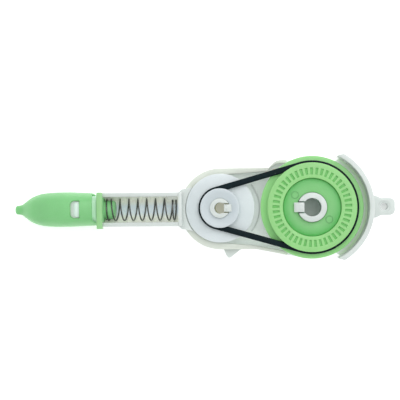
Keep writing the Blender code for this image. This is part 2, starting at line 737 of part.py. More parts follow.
def make_head(materials):
    """The blade the tape turns round, its two edge guides, and the stem held in the nose."""
    stem_x = (HEAD_ROOT_X, HEAD_BACK_X)
    stem = block(stem_x, (-HEAD_STEM_HALF_WIDTH, HEAD_STEM_HALF_WIDTH), HEAD_STEM_Z)
    head = place("applicator_head", stem, materials["head_plastic"])
    root_x = HEAD_ROOT_X + OVERLAP
    blade = [
        (root_x, -HEAD_ROOT_HALF_WIDTH),
        (root_x, HEAD_ROOT_HALF_WIDTH),
        *arc((HEAD_EDGE_X + HEAD_EDGE_R, 0.0), HEAD_EDGE_R, 100.0, 260.0),
    ]
    join(head, "blade", prism(blade, *HEAD_BLADE_Z))
    guide = [
        (HEAD_ROOT_X, -GUIDE_HALF_WIDTH),
        (HEAD_ROOT_X, GUIDE_HALF_WIDTH),
        (GUIDE_EDGE_X, GUIDE_EDGE_HALF_WIDTH),
        (GUIDE_EDGE_X, -GUIDE_EDGE_HALF_WIDTH),
    ]
    join(head, "guide_below", prism(guide, *GUIDE_BELOW_Z))
    join(head, "guide_above", prism(guide, *GUIDE_ABOVE_Z))


def superellipse(half_width, low, high, roundness):
    """A rounded upright section between two heights; a larger roundness squares its corners."""
    middle = (low + high) / 2
    half_height = (high - low) / 2
    section = []
    for i in range(CAP_SIDES):
        angle = math.tau * i / CAP_SIDES
        across, up = round(math.cos(angle), 9), round(math.sin(angle), 9)
        y = half_width * math.copysign(abs(across) ** (2 / roundness), across)
        z = middle + half_height * math.copysign(abs(up) ** (2 / roundness), up)
        section.append((y, z))
    return section


def cap_shell(stations, roundness):
    rings = []
    for x, half_width, low, high in stations:
        rings.append([(x, y, z) for y, z in superellipse(half_width, low, high, roundness)])
    return lofted(rings, closed=False)


def make_cap(materials):
    cap = place("head_cap", cap_shell(CAP_STATIONS, CAP_ROUNDNESS), materials["green_plastic"])
    cut(cap, "cavity", cap_shell(CAP_CAVITY_STATIONS, CAP_CAVITY_ROUNDNESS))
    cut(cap, "rear", prism(CAP_REAR, -1.0, NECK_TOP_Z + 1.0))
    front_x, flat_x = WINDOW_X
    corner_x = front_x + WINDOW_CORNER_R
    corner_y = WINDOW_HALF_WIDTH - WINDOW_CORNER_R
    window = [
        (flat_x, WINDOW_HALF_WIDTH),
        *arc((corner_x, corner_y), WINDOW_CORNER_R, 90.0, 180.0),
        *arc((corner_x, -corner_y), WINDOW_CORNER_R, 180.0, 270.0),
        (flat_x, -WINDOW_HALF_WIDTH),
    ]
    cut(cap, "catch_window", prism(window, WINDOW_LOW_Z, NECK_TOP_Z + 1.0))


def main():
    clear_scene()
    materials = make_materials()
    make_frame(materials)
    make_supply_side(materials)
    make_take_up_side(materials)
    make_belt(materials)
    make_tape_runs(materials)
    make_spring(materials)
    make_collar(materials)
    make_head(materials)
    make_cap(materials)


main()
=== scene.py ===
"""Looks of a correction tape refill cartridge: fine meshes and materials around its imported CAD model."""

from itertools import pairwise
from math import asin, atan2, ceil, copysign, cos, degrees, pi, radians, sin, sqrt, tan, tau

import bmesh
import bpy
from mathutils import Matrix, Vector


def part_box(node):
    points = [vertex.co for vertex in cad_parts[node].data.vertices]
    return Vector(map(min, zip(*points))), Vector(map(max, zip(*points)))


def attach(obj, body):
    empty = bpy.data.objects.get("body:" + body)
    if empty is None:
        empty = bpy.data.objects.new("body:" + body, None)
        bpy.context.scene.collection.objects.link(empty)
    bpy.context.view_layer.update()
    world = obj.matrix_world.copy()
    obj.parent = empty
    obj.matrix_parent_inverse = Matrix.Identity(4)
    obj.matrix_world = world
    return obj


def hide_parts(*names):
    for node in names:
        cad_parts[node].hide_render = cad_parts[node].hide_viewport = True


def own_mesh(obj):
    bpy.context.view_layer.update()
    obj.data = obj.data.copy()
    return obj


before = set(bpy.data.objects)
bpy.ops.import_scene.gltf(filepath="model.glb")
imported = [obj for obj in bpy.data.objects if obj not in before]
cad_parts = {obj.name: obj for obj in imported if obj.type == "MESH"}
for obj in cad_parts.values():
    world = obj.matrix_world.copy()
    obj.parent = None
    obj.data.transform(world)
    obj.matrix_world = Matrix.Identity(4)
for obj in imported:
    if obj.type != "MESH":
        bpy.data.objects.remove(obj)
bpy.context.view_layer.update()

MM = 0.001
UP = Vector((0.0, 0.0, 1.0))
SHARP = radians(32)
FLAT = radians(0.5)
WELD = 1e-4  # points this close, in mm, are made one
BOOLEAN_WELD = 2e-3
FINE_STEP = 3.0  # degrees of arc between points on fine outlines
EDGE = 0.12  # soft moulded edge
WALL_EDGE = 0.15
CORNER_STEPS = 3
ORIGIN = (0.0, 0.0)


def box_mm(node):
    """The lowest and highest corner of a CAD node, in millimetres."""
    low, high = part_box(node)
    return Vector(low) / MM, Vector(high) / MM


def middle_x(node):
    low, high = box_mm(node)
    return (low.x + high.x) / 2


# Places read from the CAD model
SUPPLY_X = middle_x("supply_pulley")
TAKE_UP_X = middle_x("take_up_reel")
REEL_SPACING = SUPPLY_X - TAKE_UP_X
PULLEY_LOW, PULLEY_HIGH = box_mm("supply_pulley")
CORE_LOW, CORE_HIGH = box_mm("supply_core")
REEL_LOW, REEL_HIGH = box_mm("take_up_reel")
ROLL_LOW, ROLL_HIGH = box_mm("supply_tape_roll")
USED_LOW, USED_HIGH = box_mm("take_up_tape_roll")
BELT_LOW, BELT_HIGH = box_mm("drive_belt")
SPRING_LOW, SPRING_HIGH = box_mm("return_spring")
COLLAR_LOW, COLLAR_HIGH = box_mm("slide_collar")
HEAD_HIGH = box_mm("applicator_head")[1]
FRAME_HIGH = box_mm("frame")[1]
FLANGE_LOW_Z = PULLEY_LOW.z
RIM_TOP_Z = PULLEY_HIGH.z

# Levels of the frame
PLATE_T = 1.0
WALL_TOP_Z = 5.6
POST_TOP_Z = 10.9
GUARD_TOP_Z = 11.0
NECK_TOP_Z = FRAME_HIGH.z

# Frame outline
BODY_R = 11.8
BODY_ARC_Y = -0.2
WALL_T = 1.0
ARC_WALL_T = 1.9
ARC_WALL_ANGLES = (100.0, 260.0)
OVERLAP = 0.2
REEL_BAY_R = 10.15
PLATE_REEL_R = 14.3
GUARD_OUTER_R = 17.7
GUARD_INNER_R = 16.36
GUARD_HALF_ANGLE = 64.0
GUARD_CORNER_ANGLE = 5.0
BUMP = ((18.9, 11.6), (20.0, 12.7), (21.2, 13.6), (22.4, 13.85), (25.3, 13.85))
LOWER_EDGE = ((15.0, -12.0), (27.0, -14.4))
WALL_END_X = 24.2
TOOTH = ((5.4, -11.6), (6.2, -13.6), (6.8, -14.5), (7.5, -14.6), (8.1, -14.1), (10.1, -12.5), (11.6, -11.6))
TOOTH_TOP_Z = 2.5
RIB_R = 11.2
RIB_T = 0.4
RIB_TOP_Z = 1.5
RIB_HALF_ANGLE = 38.0
LUG_HALF_WIDTH = 2.5
LUG_CORNER_R = 1.5
LUG_HOLE_X = 52.3
LUG_HOLE_R = 1.05
LUG_RIM_R = 1.9
LUG_TOP_Z = 3.2
LUG_ROOT_X = 47.6
LUG_FLARE = ((49.3, 3.35), (50.6, 2.95), (51.2, 2.5))

# Neck and nose
NECK_Y = -0.2
NECK_HALF_WIDTH = 4.85
NECK_FRONT_X = -30.2
NECK_BACK_X = -5.9
CHANNEL_R = 3.65
CHANNEL_AXIS_Z = 10.65
CHANNEL_BACK_X = -7.0
TUNNEL_HALF_WIDTH = 3.4
TUNNEL_ROOF_Z = 6.4
TUNNEL_MOUTH_BACK_X = -3.3
TUNNEL_PILLAR_HALF_WIDTH = 1.3
SHOULDER = ((-7.4, -0.2), (-6.4, 0.9), (-3.6, 1.4))
SHOULDER_TOP_Z = 6.9
SPRING_TAB_X = (-10.0, -6.8)
SPRING_TAB_Y = (2.55, 3.6)
SPRING_TAB_Z = (12.5, 12.95)
NOSE_FRONT_X = -39.0
NOSE_HALF_WIDTH = 3.85
NOSE_LOW_Z = 1.4
NOSE_HIGH_Z = 12.1
NOSE_CHAMFER = 1.6
NOSE_TINT_X = (-33.4, -32.2)
CATCH_SECTION = ((-37.4, 11.6), (-35.4, 11.6), (-35.4, 12.35), (-36.6, 12.3), (-37.4, 11.95))
CATCH_HALF_WIDTH = 2.2
CATCH_CORNER_R = 1.3

# Posts
SUPPLY_POST = {"radius": 4.18, "hole": 2.63, "finger": 1.38, "reach": 5.2, "hook_z": 9.75, "side": -1}
TAKE_UP_POST = {"radius": 2.8, "hole": 1.6, "finger": 1.05, "reach": 3.35, "hook_z": 10.15, "side": 1}
SLIT_W = 0.35
SLIT_LOW_Z = 5.0

# Reels
REEL_SIDES = 144
GROOVE_LOW_Z = 7.3
GROOVE_HIGH_Z = 9.1
PULLEY_FLANGE_R = 14.8
PULLEY_RIM_R = 12.8
PULLEY_GROOVE_R = 11.55
PULLEY_BORE_R = 8.35
PULLEY_LIP_R = 7.5
PULLEY_LIP_TOP_Z = 7.2
SLOT_COUNT = 45
SLOT_R = (9.35, 11.35)
SLOT_DEPTH = 0.5
SLOT_HALF_DEG = 1.95
SLOT_PHASE_DEG = 2.5
SLOT_WALL_DEG = 0.3
SLOT_SAMPLES_DEG = (-4.0, -2.4, -2.1, -2.0, -1.9, -1.8, -1.4, 0.0, 1.4, 1.8, 1.9, 2.0, 2.1, 2.4)
SUPPLY_BORE_R = 4.33
DRUM_R = 6.9
HUB_R = 7.2
HUB_PLATE_R = 8.29
HUB_PLATE_LOW_Z = 8.6
MARK_PLACE = (-4.86, 3.56)
MARK_R = 1.0
MARK_LINE = 0.24
MARK_SUNK = 0.2
MARK_HEIGHT = 0.13
TAKE_UP_BORE_R = 2.85
TAKE_UP_DRUM_R = 3.7
TAKE_UP_GROOVE_R = 4.5
TAKE_UP_HUB_R = 5.68
TAKE_UP_FLANGE_R = 9.95
TAKE_UP_DISH = 0.25
TAKE_UP_DISH_R = (4.1, 4.8)

# Belt, spring and tape
BELT_SUPPLY_R = 12.6
BELT_TAKE_UP_R = 5.4
BELT_T = 1.7
SPRING_Z = 10.45
SPRING_R = 3.09
WIRE_R = 0.21
SPRING_OPEN_TURNS = 7.0
SPRING_CLOSED_TURNS = 1.3
SPRING_CLOSED_PITCH = 1.0
SPRING_TOP_TURN = 1.43
SPRING_STEPS_PER_TURN = 48
WIRE_SIDES = 12
TAPE_T = 0.16
TAPE_MOUTH = (-6.2, 2.35)
TAPE_BLADE = (-39.0, 1.75)

# Collar, head and cap
COLLAR_BAR_Z = (13.55, COLLAR_HIGH.z)
COLLAR_BAR_BACK_X = -28.45
COLLAR_PLATE_BACK_X = -28.25
COLLAR_PLATE_R = 3.4
COLLAR_LEG_T = 0.35
COLLAR_LEG_LOW_Z = 11.6
BOSS_R = 2.7
BOSS_END_X = -25.05
BOSS_NOSE = 0.9
HEAD_ROOT_X = -39.6
HEAD_ROOT_HALF_WIDTH = 1.45
HEAD_EDGE_X = -50.9
HEAD_EDGE_R = 0.35
HEAD_STEM_HALF_WIDTH = 1.1
HEAD_STEM_Z = (1.3, 6.1)
HEAD_BLADE_Z = (1.0, 6.4)
GUIDE_EDGE_X = -49.6
GUIDE_EDGE_HALF_WIDTH = 1.0
GUIDE_HALF_WIDTH = 2.5
GUIDE_BELOW_Z = (0.85, 1.1)
GUIDE_ABOVE_Z = (6.3, 6.7)
CAP_STATIONS = (
    (-55.4, 0.5, 3.9, 4.9),
    (-55.2, 1.02, 3.4, 5.4),
    (-54.8, 1.3, 3.1, 5.7),
    (-54.3, 1.33, 3.1, 5.7),
    (-53.7, 1.42, 3.0, 5.8),
    (-53.1, 1.68, 2.75, 6.1),
    (-52.6, 2.06, 1.8, 6.7),
    (-52.0, 2.52, 1.0, 7.4),
    (-51.2, 3.05, 0.5, 8.3),
    (-50.3, 3.6, 0.2, 9.1),
    (-49.4, 4.0, 0.1, 9.8),
    (-48.0, 4.46, 0.03, 10.5),
    (-46.5, 4.76, 0.0, 11.3),
    (-44.6, 4.94, 0.0, 12.0),
    (-41.9, 5.03, 0.0, 12.8),
    (-39.0, 5.03, 0.0, 13.25),
    (-35.5, 4.9, 0.0, 13.3),
    (-30.6, 4.72, 0.0, 13.3),
)
CAP_CAVITY_STATIONS = (
    (-51.85, 1.2, 1.3, 6.7),
    (-50.6, 2.4, 0.75, 7.7),
    (-48.6, 3.4, 0.7, 8.9),
    (-45.0, 4.1, 0.62, 10.6),
    (-41.0, 4.3, 0.6, 12.2),
    (-38.5, 4.3, 0.6, 12.5),
    (-30.6, 4.15, 0.6, 12.5),
)
CAP_ROUNDNESS = 2.7
CAP_CAVITY_ROUNDNESS = 4.0
CAP_SIDES = 128
CAP_RING_STEP = 0.35
CAP_RIM_X = -34.0
CAP_RIM_EDGE = 0.14
CAP_REAR = ((-4.72, -30.6), (-4.05, -30.6), (-3.6, -31.25), (-3.1, -31.7), (3.95, -31.7), (4.72, -32.35))
WINDOW_X = (-37.9, -35.25)
WINDOW_HALF_WIDTH = 2.55
WINDOW_CORNER_R = 1.3
WINDOW_LOW_Z = 11.0
WINDOW_LIP = 0.12

# Paper seen through the holes: axis, radius and share of the paper's own glow left in the shade
PAPER_GLOW = 0.5
PAPER_SHADE = ((SUPPLY_X, 6.0, 0.06), (TAKE_UP_X, 5.0, 0.35), (LUG_HOLE_X, 1.4, 0.5))

# Camera and light
CAMERA_HEIGHT = 365.0
CAMERA_X = 21.0
CAMERA_LEVEL = 9.0
VIEW_CENTRE = (-0.84, 2.39)
VIEW_WIDTH = 115.12
VIEW_ROLL_DEG = -0.577


# ---- outlines


def arc(centre, radius, start, end, step=FINE_STEP):
    """Points on an arc from one angle to another, in degrees."""
    steps = max(2, ceil(abs(end - start) / step))
    points = []
    for i in range(steps + 1):
        angle = radians(start + (end - start) * i / steps)
        points.append((centre[0] + radius * cos(angle), centre[1] + radius * sin(angle)))
    return points


def circle(radius, step=FINE_STEP):
    return arc(ORIGIN, radius, 0.0, 360.0 - step, step)


def front_rounded(x_span, half_width, corner_r):
    """An outline that is square at the back, with round corners in front."""
    front_x, back_x = x_span
    corner_x = front_x + corner_r
    corner_y = half_width - corner_r
    return [
        (back_x, half_width),
        *arc((corner_x, corner_y), corner_r, 90.0, 180.0, 9.0),
        *arc((corner_x, -corner_y), corner_r, 180.0, 270.0, 9.0),
        (back_x, -half_width),
    ]


def rounded(points, radius, steps=CORNER_STEPS):
    """A closed outline with its corners rounded. Corners that barely turn are left."""
    result = []
    count = len(points)
    for i in range(count):
        here = Vector(points[i])
        before = Vector(points[i - 1]) - here
        after = Vector(points[(i + 1) % count]) - here
        opening = before.angle(after)
        if opening > radians(160):
            result.append(tuple(here))
            continue
        reach = min(radius / tan(opening / 2), 0.45 * before.length, 0.45 * after.length)
        bend = reach * tan(opening / 2)
        bisector = (before.normalized() + after.normalized()).normalized()
        centre = here + bisector * (bend / sin(opening / 2))
        first = here + before.normalized() * reach - centre
        last = here + after.normalized() * reach - centre
        sweep = first.angle_signed(last)
        for k in range(steps + 1):
            turn = Matrix.Rotation(-sweep * k / steps, 2)
            result.append(tuple(centre + turn @ first))
    return result


def smooth_stations(stations, step):
    """Stations along X joined by a smooth monotone curve and sampled about every step."""
    steep = []
    for start, end in pairwise(stations):
        run = end[0] - start[0]
        steep.append([(b - a) / run for a, b in zip(start[1:], end[1:], strict=True)])
    slopes = []
    for left, right in zip([steep[0], *steep], [*steep, steep[-1]], strict=True):
        slopes.append([0.0 if a * b <= 0 else 2 * a * b / (a + b) for a, b in zip(left, right, strict=True)])
    result = []
    for (start, start_slope), (end, end_slope) in pairwise(zip(stations, slopes, strict=True)):
        span = end[0] - start[0]
        pieces = max(2, round(abs(span) / step))
        for p in range(pieces):
            t = p / pieces
            values = [start[0] + span * t]
            for k in range(1, len(start)):
                a = (1 + 2 * t) * (1 - t) ** 2 * start[k] + t * (1 - t) ** 2 * span * start_slope[k - 1]
                b = t * t * (3 - 2 * t) * end[k] - t * t * (1 - t) * span * end_slope[k - 1]
                values.append(a + b)
            result.append(values)
    return [*result, list(stations[-1])]


# ---- shapes


def finish_shape(shape):
    bmesh.ops.remove_doubles(shape, verts=shape.verts, dist=WELD * MM)
    bmesh.ops.recalc_face_normals(shape, faces=shape.faces)
    return shape


def prism(outline, low, high, x=0.0):
    """An outline in the XY plane made solid between two heights."""
    shape = bmesh.new()
    base = [shape.verts.new(((px + x) * MM, py * MM, low * MM)) for px, py in outline]
    face = shape.faces.new(base)
    top = bmesh.ops.extrude_face_region(shape, geom=[face])["geom"]
    moved = [item for item in top if isinstance(item, bmesh.types.BMVert)]
    bmesh.ops.translate(shape, verts=moved, vec=UP * (high - low) * MM)
    return finish_shape(shape)


def block(x_span, y_span, z_span):
    (x0, x1), (y0, y1) = x_span, y_span
    return prism(((x0, y0), (x1, y0), (x1, y1), (x0, y1)), *z_span)


def lofted(rings, closed):
    """Faces between rings of equal count. closed joins the last ring to the first."""
    shape = bmesh.new()
    loops = [[shape.verts.new(Vector(point) * MM) for point in ring] for ring in rings]
    if closed:
        loops.append(loops[0])
    else:
        shape.faces.new(loops[0])
        shape.faces.new(loops[-1])
    for first, second in pairwise(loops):
        for i, vert in enumerate(first):
            after = (i + 1) % len(first)
            shape.faces.new((vert, first[after], second[after], second[i]))
    return finish_shape(shape)


def even_turns(count):
    return [tau * i / count for i in range(count)]


def turned(profile, x, sides=REEL_SIDES, edge=EDGE):
    """A ring from a closed (radius, height) profile about a vertical axis at x, with soft corners."""
    turns = even_turns(sides)
    corners = rounded(profile, edge)
    rings = [[(x + r * cos(a), r * sin(a), z) for a in turns] for r, z in corners]
    return lofted(rings, closed=True)


def along_x(section, x_span):
    """A (y, z) section made solid between two places along X."""
    return lofted([[(x, y, z) for y, z in section] for x in x_span], closed=False)


def along_y(section, y_span):
    """An (x, z) section made solid between two places along Y."""
    return lofted([[(x, y, z) for x, z in section] for y in y_span], closed=False)


def headings(path):
    """Each point of an open path, with the path's direction there."""
    for i, point in enumerate(path):
        before, after = Vector(path[max(i - 1, 0)]), Vector(path[min(i + 1, len(path) - 1)])
        yield Vector(point), (after - before).normalized()


def tube(path, radius, sides):
    """A closed round tube along a path."""
    across = UP
    rings = []
    for point, along in headings(path):
        across = (across - along * across.dot(along)).normalized()
        side = along.cross(across)
        outward = [across * cos(turn) + side * sin(turn) for turn in even_turns(sides)]
        rings.append([point + out * radius for out in outward])
    return lofted(rings, closed=False)


def soften(shape, width, angle=SHARP, steps=2):
    """Round every sharp edge of a clean shape by a small width."""
    edges = [e for e in shape.edges if e.is_manifold and e.calc_face_angle(0.0) > angle]
    settings = {"offset_type": "OFFSET", "segments": steps, "profile": 0.5, "affect": "EDGES"}
    bmesh.ops.bevel(shape, geom=edges, offset=width * MM, clamp_overlap=True, **settings)
    return shape


def add_object(name, data):
    item = bpy.data.objects.new(name, data)
    bpy.context.scene.collection.objects.link(item)
    return item


def new_object(name, shape):
    mesh = bpy.data.meshes.new(name)
    shape.to_mesh(mesh)
    shape.free()
    return add_object(name, mesh)


def carve(base, *tools, operation="DIFFERENCE"):
    """base cut by each tool in turn, as one new bmesh."""
    target = new_object("base", base)
    items = [new_object("tool", shape) for shape in tools]
    for item in items:
        boolean = target.modifiers.new("boolean", "BOOLEAN")
        boolean.operation = operation
        boolean.solver = "EXACT"
        boolean.object = item
    bpy.context.view_layer.update()
    graph = bpy.context.evaluated_depsgraph_get()
    result = bmesh.new()
    result.from_mesh(target.evaluated_get(graph).to_mesh())
    for item in [target, *items]:
        bpy.data.objects.remove(item, do_unlink=True)
    bmesh.ops.remove_doubles(result, verts=result.verts, dist=BOOLEAN_WELD * MM)
    bmesh.ops.dissolve_limit(result, angle_limit=FLAT, verts=result.verts, edges=result.edges)
    return result


def show(name, shape, material, body, *nodes, slot=None):
    """A visible piece that rides on a body and stands for CAD nodes."""
    item = new_object(name, shape)
    mesh = item.data
    mesh.shade_smooth()
    mesh.set_sharp_from_angle(angle=SHARP)
    mesh.materials.append(material)
    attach(item, body)
    if nodes:
        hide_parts(*nodes)
    return item


# ---- materials


def new_material(name):
    material = bpy.data.materials.new(name)
    material.use_nodes = True
    return material, material.node_tree, material.node_tree.nodes["Principled BSDF"]


def plug(tree, target, value):
    """Link an input to a socket, or set it to a plain value."""
    if isinstance(value, bpy.types.NodeSocket):
        tree.links.new(value, target)
    else:
        target.default_value = value


def feed(tree, node, **inputs):
    """Plug a node's inputs by name, with an underscore for each space."""
    for name, value in inputs.items():
        plug(tree, node.inputs[name.replace("_", " ")], value)
    return node


def add_node(tree, kind, settings=(), **inputs):
    node = tree.nodes.new(kind)
    for key, value in dict(settings).items():
        setattr(node, key, value)
    return feed(tree, node, **inputs)


def place_of(tree):
    node = tree.nodes.get("Texture Coordinate") or tree.nodes.new("ShaderNodeTexCoord")
    return node.outputs["Object"]


def noise(tree, size_mm, detail=3.0, stretch=(1.0, 1.0, 1.0)):
    """Noise with features of about a size, from 0 to 1."""
    mapped = add_node(tree, "ShaderNodeMapping", Vector=place_of(tree), Scale=stretch).outputs["Vector"]
    scale = 1.0 / (size_mm * MM)
    return add_node(tree, "ShaderNodeTexNoise", Vector=mapped, Scale=scale, Detail=detail).outputs["Fac"]


def ramp(tree, value, low, high, to_low, to_high):
    """A value moved from one range to another, and kept inside it."""
    ends = {"From_Min": low, "From_Max": high, "To_Min": to_low, "To_Max": to_high}
    return add_node(tree, "ShaderNodeMapRange", Value=value, **ends).outputs["Result"]


def blend_colour(tree, share, first, second):
    made = add_node(tree, "ShaderNodeMix", {"data_type": "RGBA"})
    sockets = [s for s in made.inputs if s.enabled]
    for target, value in zip(sockets, (share, first, second), strict=True):
        plug(tree, target, (*value, 1.0) if isinstance(value, tuple) else value)
    return next(s for s in made.outputs if s.enabled)


def shade(colour, factor):
    return tuple(min(channel * factor, 1.0) for channel in colour)


def bumped(tree, shader, *layers):
    """Stack bump layers given as (height socket, height in mm)."""
    below = {}
    for height, depth_mm in layers:
        bump = add_node(tree, "ShaderNodeBump", Height=height, Strength=1.0, Distance=depth_mm * MM, **below)
        below = {"Normal": bump.outputs["Normal"]}
    feed(tree, shader, **below)


def coordinate(tree, axis):
    return add_node(tree, "ShaderNodeSeparateXYZ", Vector=place_of(tree)).outputs[axis]


def maths(tree, operation, *values):
    """One arithmetic node on sockets and plain numbers."""
    node = add_node(tree, "ShaderNodeMath", {"operation": operation})
    for target, value in zip(node.inputs, values, strict=False):
        plug(tree, target, value)
    return node.outputs["Value"]


def distance_from(tree, x):
    """How far a point is from the vertical axis at x."""
    shift = {"Location": (-x * MM, 0.0, 0.0), "Scale": (1.0, 1.0, 0.0)}
    centred = add_node(tree, "ShaderNodeMapping", Vector=place_of(tree), **shift).outputs["Vector"]
    radius = add_node(tree, "ShaderNodeVectorMath", {"operation": "LENGTH"})
    plug(tree, radius.inputs[0], centred)
    return radius.outputs["Value"]


def off_neck_axis(tree):
    return maths(tree, "ABSOLUTE", maths(tree, "SUBTRACT", coordinate(tree, "Y"), NECK_Y * MM))


def inside_channel(tree):
    return ramp(tree, off_neck_axis(tree), (CHANNEL_R - 0.1) * MM, (CHANNEL_R + 0.1) * MM, 1.0, 0.0)


def on_floor(tree):
    return ramp(tree, coordinate(tree, "Z"), (PLATE_T - 0.2) * MM, (PLATE_T - 0.05) * MM, 0.0, 1.0)


def neck_painted_light(tree, base):
    """The spring channel: painted warm shade up its sides and painted cool light along its bottom."""
    off_axis = off_neck_axis(tree)
    warm = blend_colour(tree, inside_channel(tree), base, CHANNEL_WARM_SHADE)
    return blend_colour(tree, ramp(tree, off_axis, 0.9 * MM, 2.3 * MM, 1.0, 0.0), warm, CHANNEL_COOL_LIGHT)


def nose_tint(tree, base):
    """The nose, green at its root where light comes off the cap and the collar."""
    root = ramp(tree, coordinate(tree, "X"), NOSE_TINT_X[0] * MM, NOSE_TINT_X[1] * MM, 0.0, 1.0)
    return blend_colour(tree, root, base, MINT_LIT)


def floor_painted_shade(tree, base):
    """The tray floor, with painted green shade where it lies under the edge of the green pulley by the guard.
    """
    near = ramp(tree, distance_from(tree, SUPPLY_X), 15.0 * MM, 16.5 * MM, 0.0, 1.0)
    tail = ramp(tree, coordinate(tree, "X"), 35.0 * MM, 42.0 * MM, 0.0, 1.0)
    return blend_colour(tree, maths(tree, "MULTIPLY", near, tail), base, FLOOR_GREEN_SHADE)


def pulley_painted_light(tree, base):
    """Painted shade, a deeper green down in the slots, and painted light, a lighter green on the flange."""
    height = coordinate(tree, "Z")
    slots = ramp(tree, height, (RIM_TOP_Z - 0.4) * MM, (RIM_TOP_Z - 0.15) * MM, 1.0, 0.0)
    flange = ramp(tree, height, (GROOVE_LOW_Z + 0.2) * MM, (GROOVE_LOW_Z + 0.6) * MM, 1.0, 0.0)
    return blend_colour(tree, flange, blend_colour(tree, slots, base, SLOT_SHADE_GREEN), FLANGE_LIT_GREEN)


def hub_painted_shade(tree, base):
    """The sunk green plate, deeper in colour towards the wall round it, as painted shade."""
    edge = ramp(tree, distance_from(tree, SUPPLY_X), 5.2 * MM, HUB_PLATE_R * MM, 0.0, 1.0)
    return blend_colour(tree, maths(tree, "POWER", edge, 1.6), base, HUB_EDGE_SHADE_GREEN)


def reel_painted_shade(tree, base):
    """The take-up reel's hub, a little greyer than its flange, as painted shade."""
    radius = distance_from(tree, TAKE_UP_X)
    hub = ramp(tree, radius, (TAKE_UP_HUB_R + 0.02) * MM, (TAKE_UP_HUB_R + 0.2) * MM, 1.0, 0.0)
    return blend_colour(tree, hub, base, HUB_SHADE_WHITE)


def make_plastic(
    name, colour, roughness=0.40, depth_mm=1.2, glow=0.45, grain=0.010, lit=0.0, lit_where=None, tint=None
):
    """Moulded polypropylene: cloudy colour, a satin face with fine grain, and light soaking a little way in.

    lit is a painted glow: emission standing in for light that comes through the translucent wall from behind,
    and lit_where the places it is painted. tint changes the colour from place to place, as painted light and
    shade.
    """
    material, tree, shader = new_material(name)
    cloudy = ramp(tree, noise(tree, 7.0, detail=4.0), *NOISE_SPAN, 0.0, 1.0)
    specks = ramp(tree, noise(tree, 0.35, detail=2.0), 0.35, 0.65, 0.0, 0.35)
    darker, lighter = shade(colour, 1 - CLOUD), shade(colour, 1 + CLOUD)
    base = blend_colour(tree, specks, blend_colour(tree, cloudy, darker, lighter), darker)
    if tint:
        base = tint(tree, base)
    polish = noise(tree, 2.5, detail=5.0, stretch=(1.0, 3.0, 1.0))
    satin = ramp(tree, polish, *NOISE_SPAN, roughness - 0.07, roughness + 0.09)
    # lit paints a glow: emission standing in for light through the wall
    feed(tree, shader, Base_Color=base, Emission_Color=base, Emission_Strength=lit, Roughness=satin)
    if lit_where:
        feed(tree, shader, Emission_Strength=maths(tree, "MULTIPLY", lit_where(tree), lit))
    feed(tree, shader, IOR=1.49, Subsurface_Weight=glow, Subsurface_Radius=(1.0, 1.0, 1.0))
    feed(tree, shader, Subsurface_Scale=depth_mm * MM)
    bumped(tree, shader, (noise(tree, 4.0, detail=1.0), 0.03), (noise(tree, 0.16, detail=2.0), grain))
    return material


def make_rubber():
    """Moulded belt rubber: matt, faintly rubbed, with a few specks of dust."""
    material, tree, shader = new_material("belt_rubber")
    rub = noise(tree, 1.2, detail=5.0)
    colour = blend_colour(tree, ramp(tree, rub, *WEAR_SPAN, 0.0, 1.0), RUBBER_BLACK, RUBBER_RUBBED)
    cells = add_node(tree, "ShaderNodeTexVoronoi", Vector=place_of(tree), Scale=1.0 / (1.1 * MM))
    dust = ramp(tree, cells.outputs["Distance"], 0.05, 0.09, 1.0, 0.0)
    rare = ramp(tree, noise(tree, 2.2, detail=0.0), 0.60, 0.64, 0.0, 0.6)
    dusty = blend_colour(tree, maths(tree, "MULTIPLY", dust, rare), colour, DUST_GREY)
    matt = ramp(tree, rub, *NOISE_SPAN, 0.42, 0.62)
    feed(tree, shader, Base_Color=dusty, Roughness=matt, Specular_IOR_Level=0.12)
    bumped(tree, shader, (noise(tree, 0.10, detail=3.0), 0.008))
    return material


def make_steel():
    """Drawn spring wire: bright, with fine lines along the wire and a trace of tarnish."""
    material, tree, shader = new_material("spring_steel")
    tarnish = ramp(tree, noise(tree, 1.5, detail=4.0), *WEAR_SPAN, 0.0, 1.0)
    lines = noise(tree, 0.06, detail=2.0, stretch=(6.0, 0.4, 0.4))
    polish = ramp(tree, lines, *NOISE_SPAN, 0.18, 0.34)
    colour = blend_colour(tree, tarnish, STEEL, STEEL_DULL)
    feed(tree, shader, Base_Color=colour, Metallic=1.0, Roughness=polish)
    bumped(tree, shader, (lines, 0.003))
    return material


def make_tape(name, colour, roughness, axis_x=None):
    """Tape: a smooth film, and where it is wound about an axis, rings of slightly uneven layers."""
    material, tree, shader = new_material(name)
    mottle = noise(tree, 1.8, detail=4.0)
    mottled = ramp(tree, mottle, *NOISE_SPAN, 0.0, 1.0)
    base = blend_colour(tree, mottled, shade(colour, 0.95), shade(colour, 1.04))
    layers = [(noise(tree, 0.5, detail=3.0), 0.006)]
    if axis_x is not None:
        sockets = {"W": distance_from(tree, axis_x), "Scale": 1.0 / (0.12 * MM), "Detail": 3.0}
        wound = add_node(tree, "ShaderNodeTexNoise", {"noise_dimensions": "1D"}, **sockets).outputs["Fac"]
        base = blend_colour(tree, ramp(tree, wound, *WEAR_SPAN, 0.0, 0.55), base, shade(colour, 0.74))
        layers.append((wound, 0.03))
    sheen = ramp(tree, mottle, *NOISE_SPAN, roughness - 0.06, roughness + 0.08)
    feed(tree, shader, Base_Color=base, Roughness=sheen, Subsurface_Weight=0.15, Subsurface_Scale=0.3 * MM)
    bumped(tree, shader, *layers)
    return material


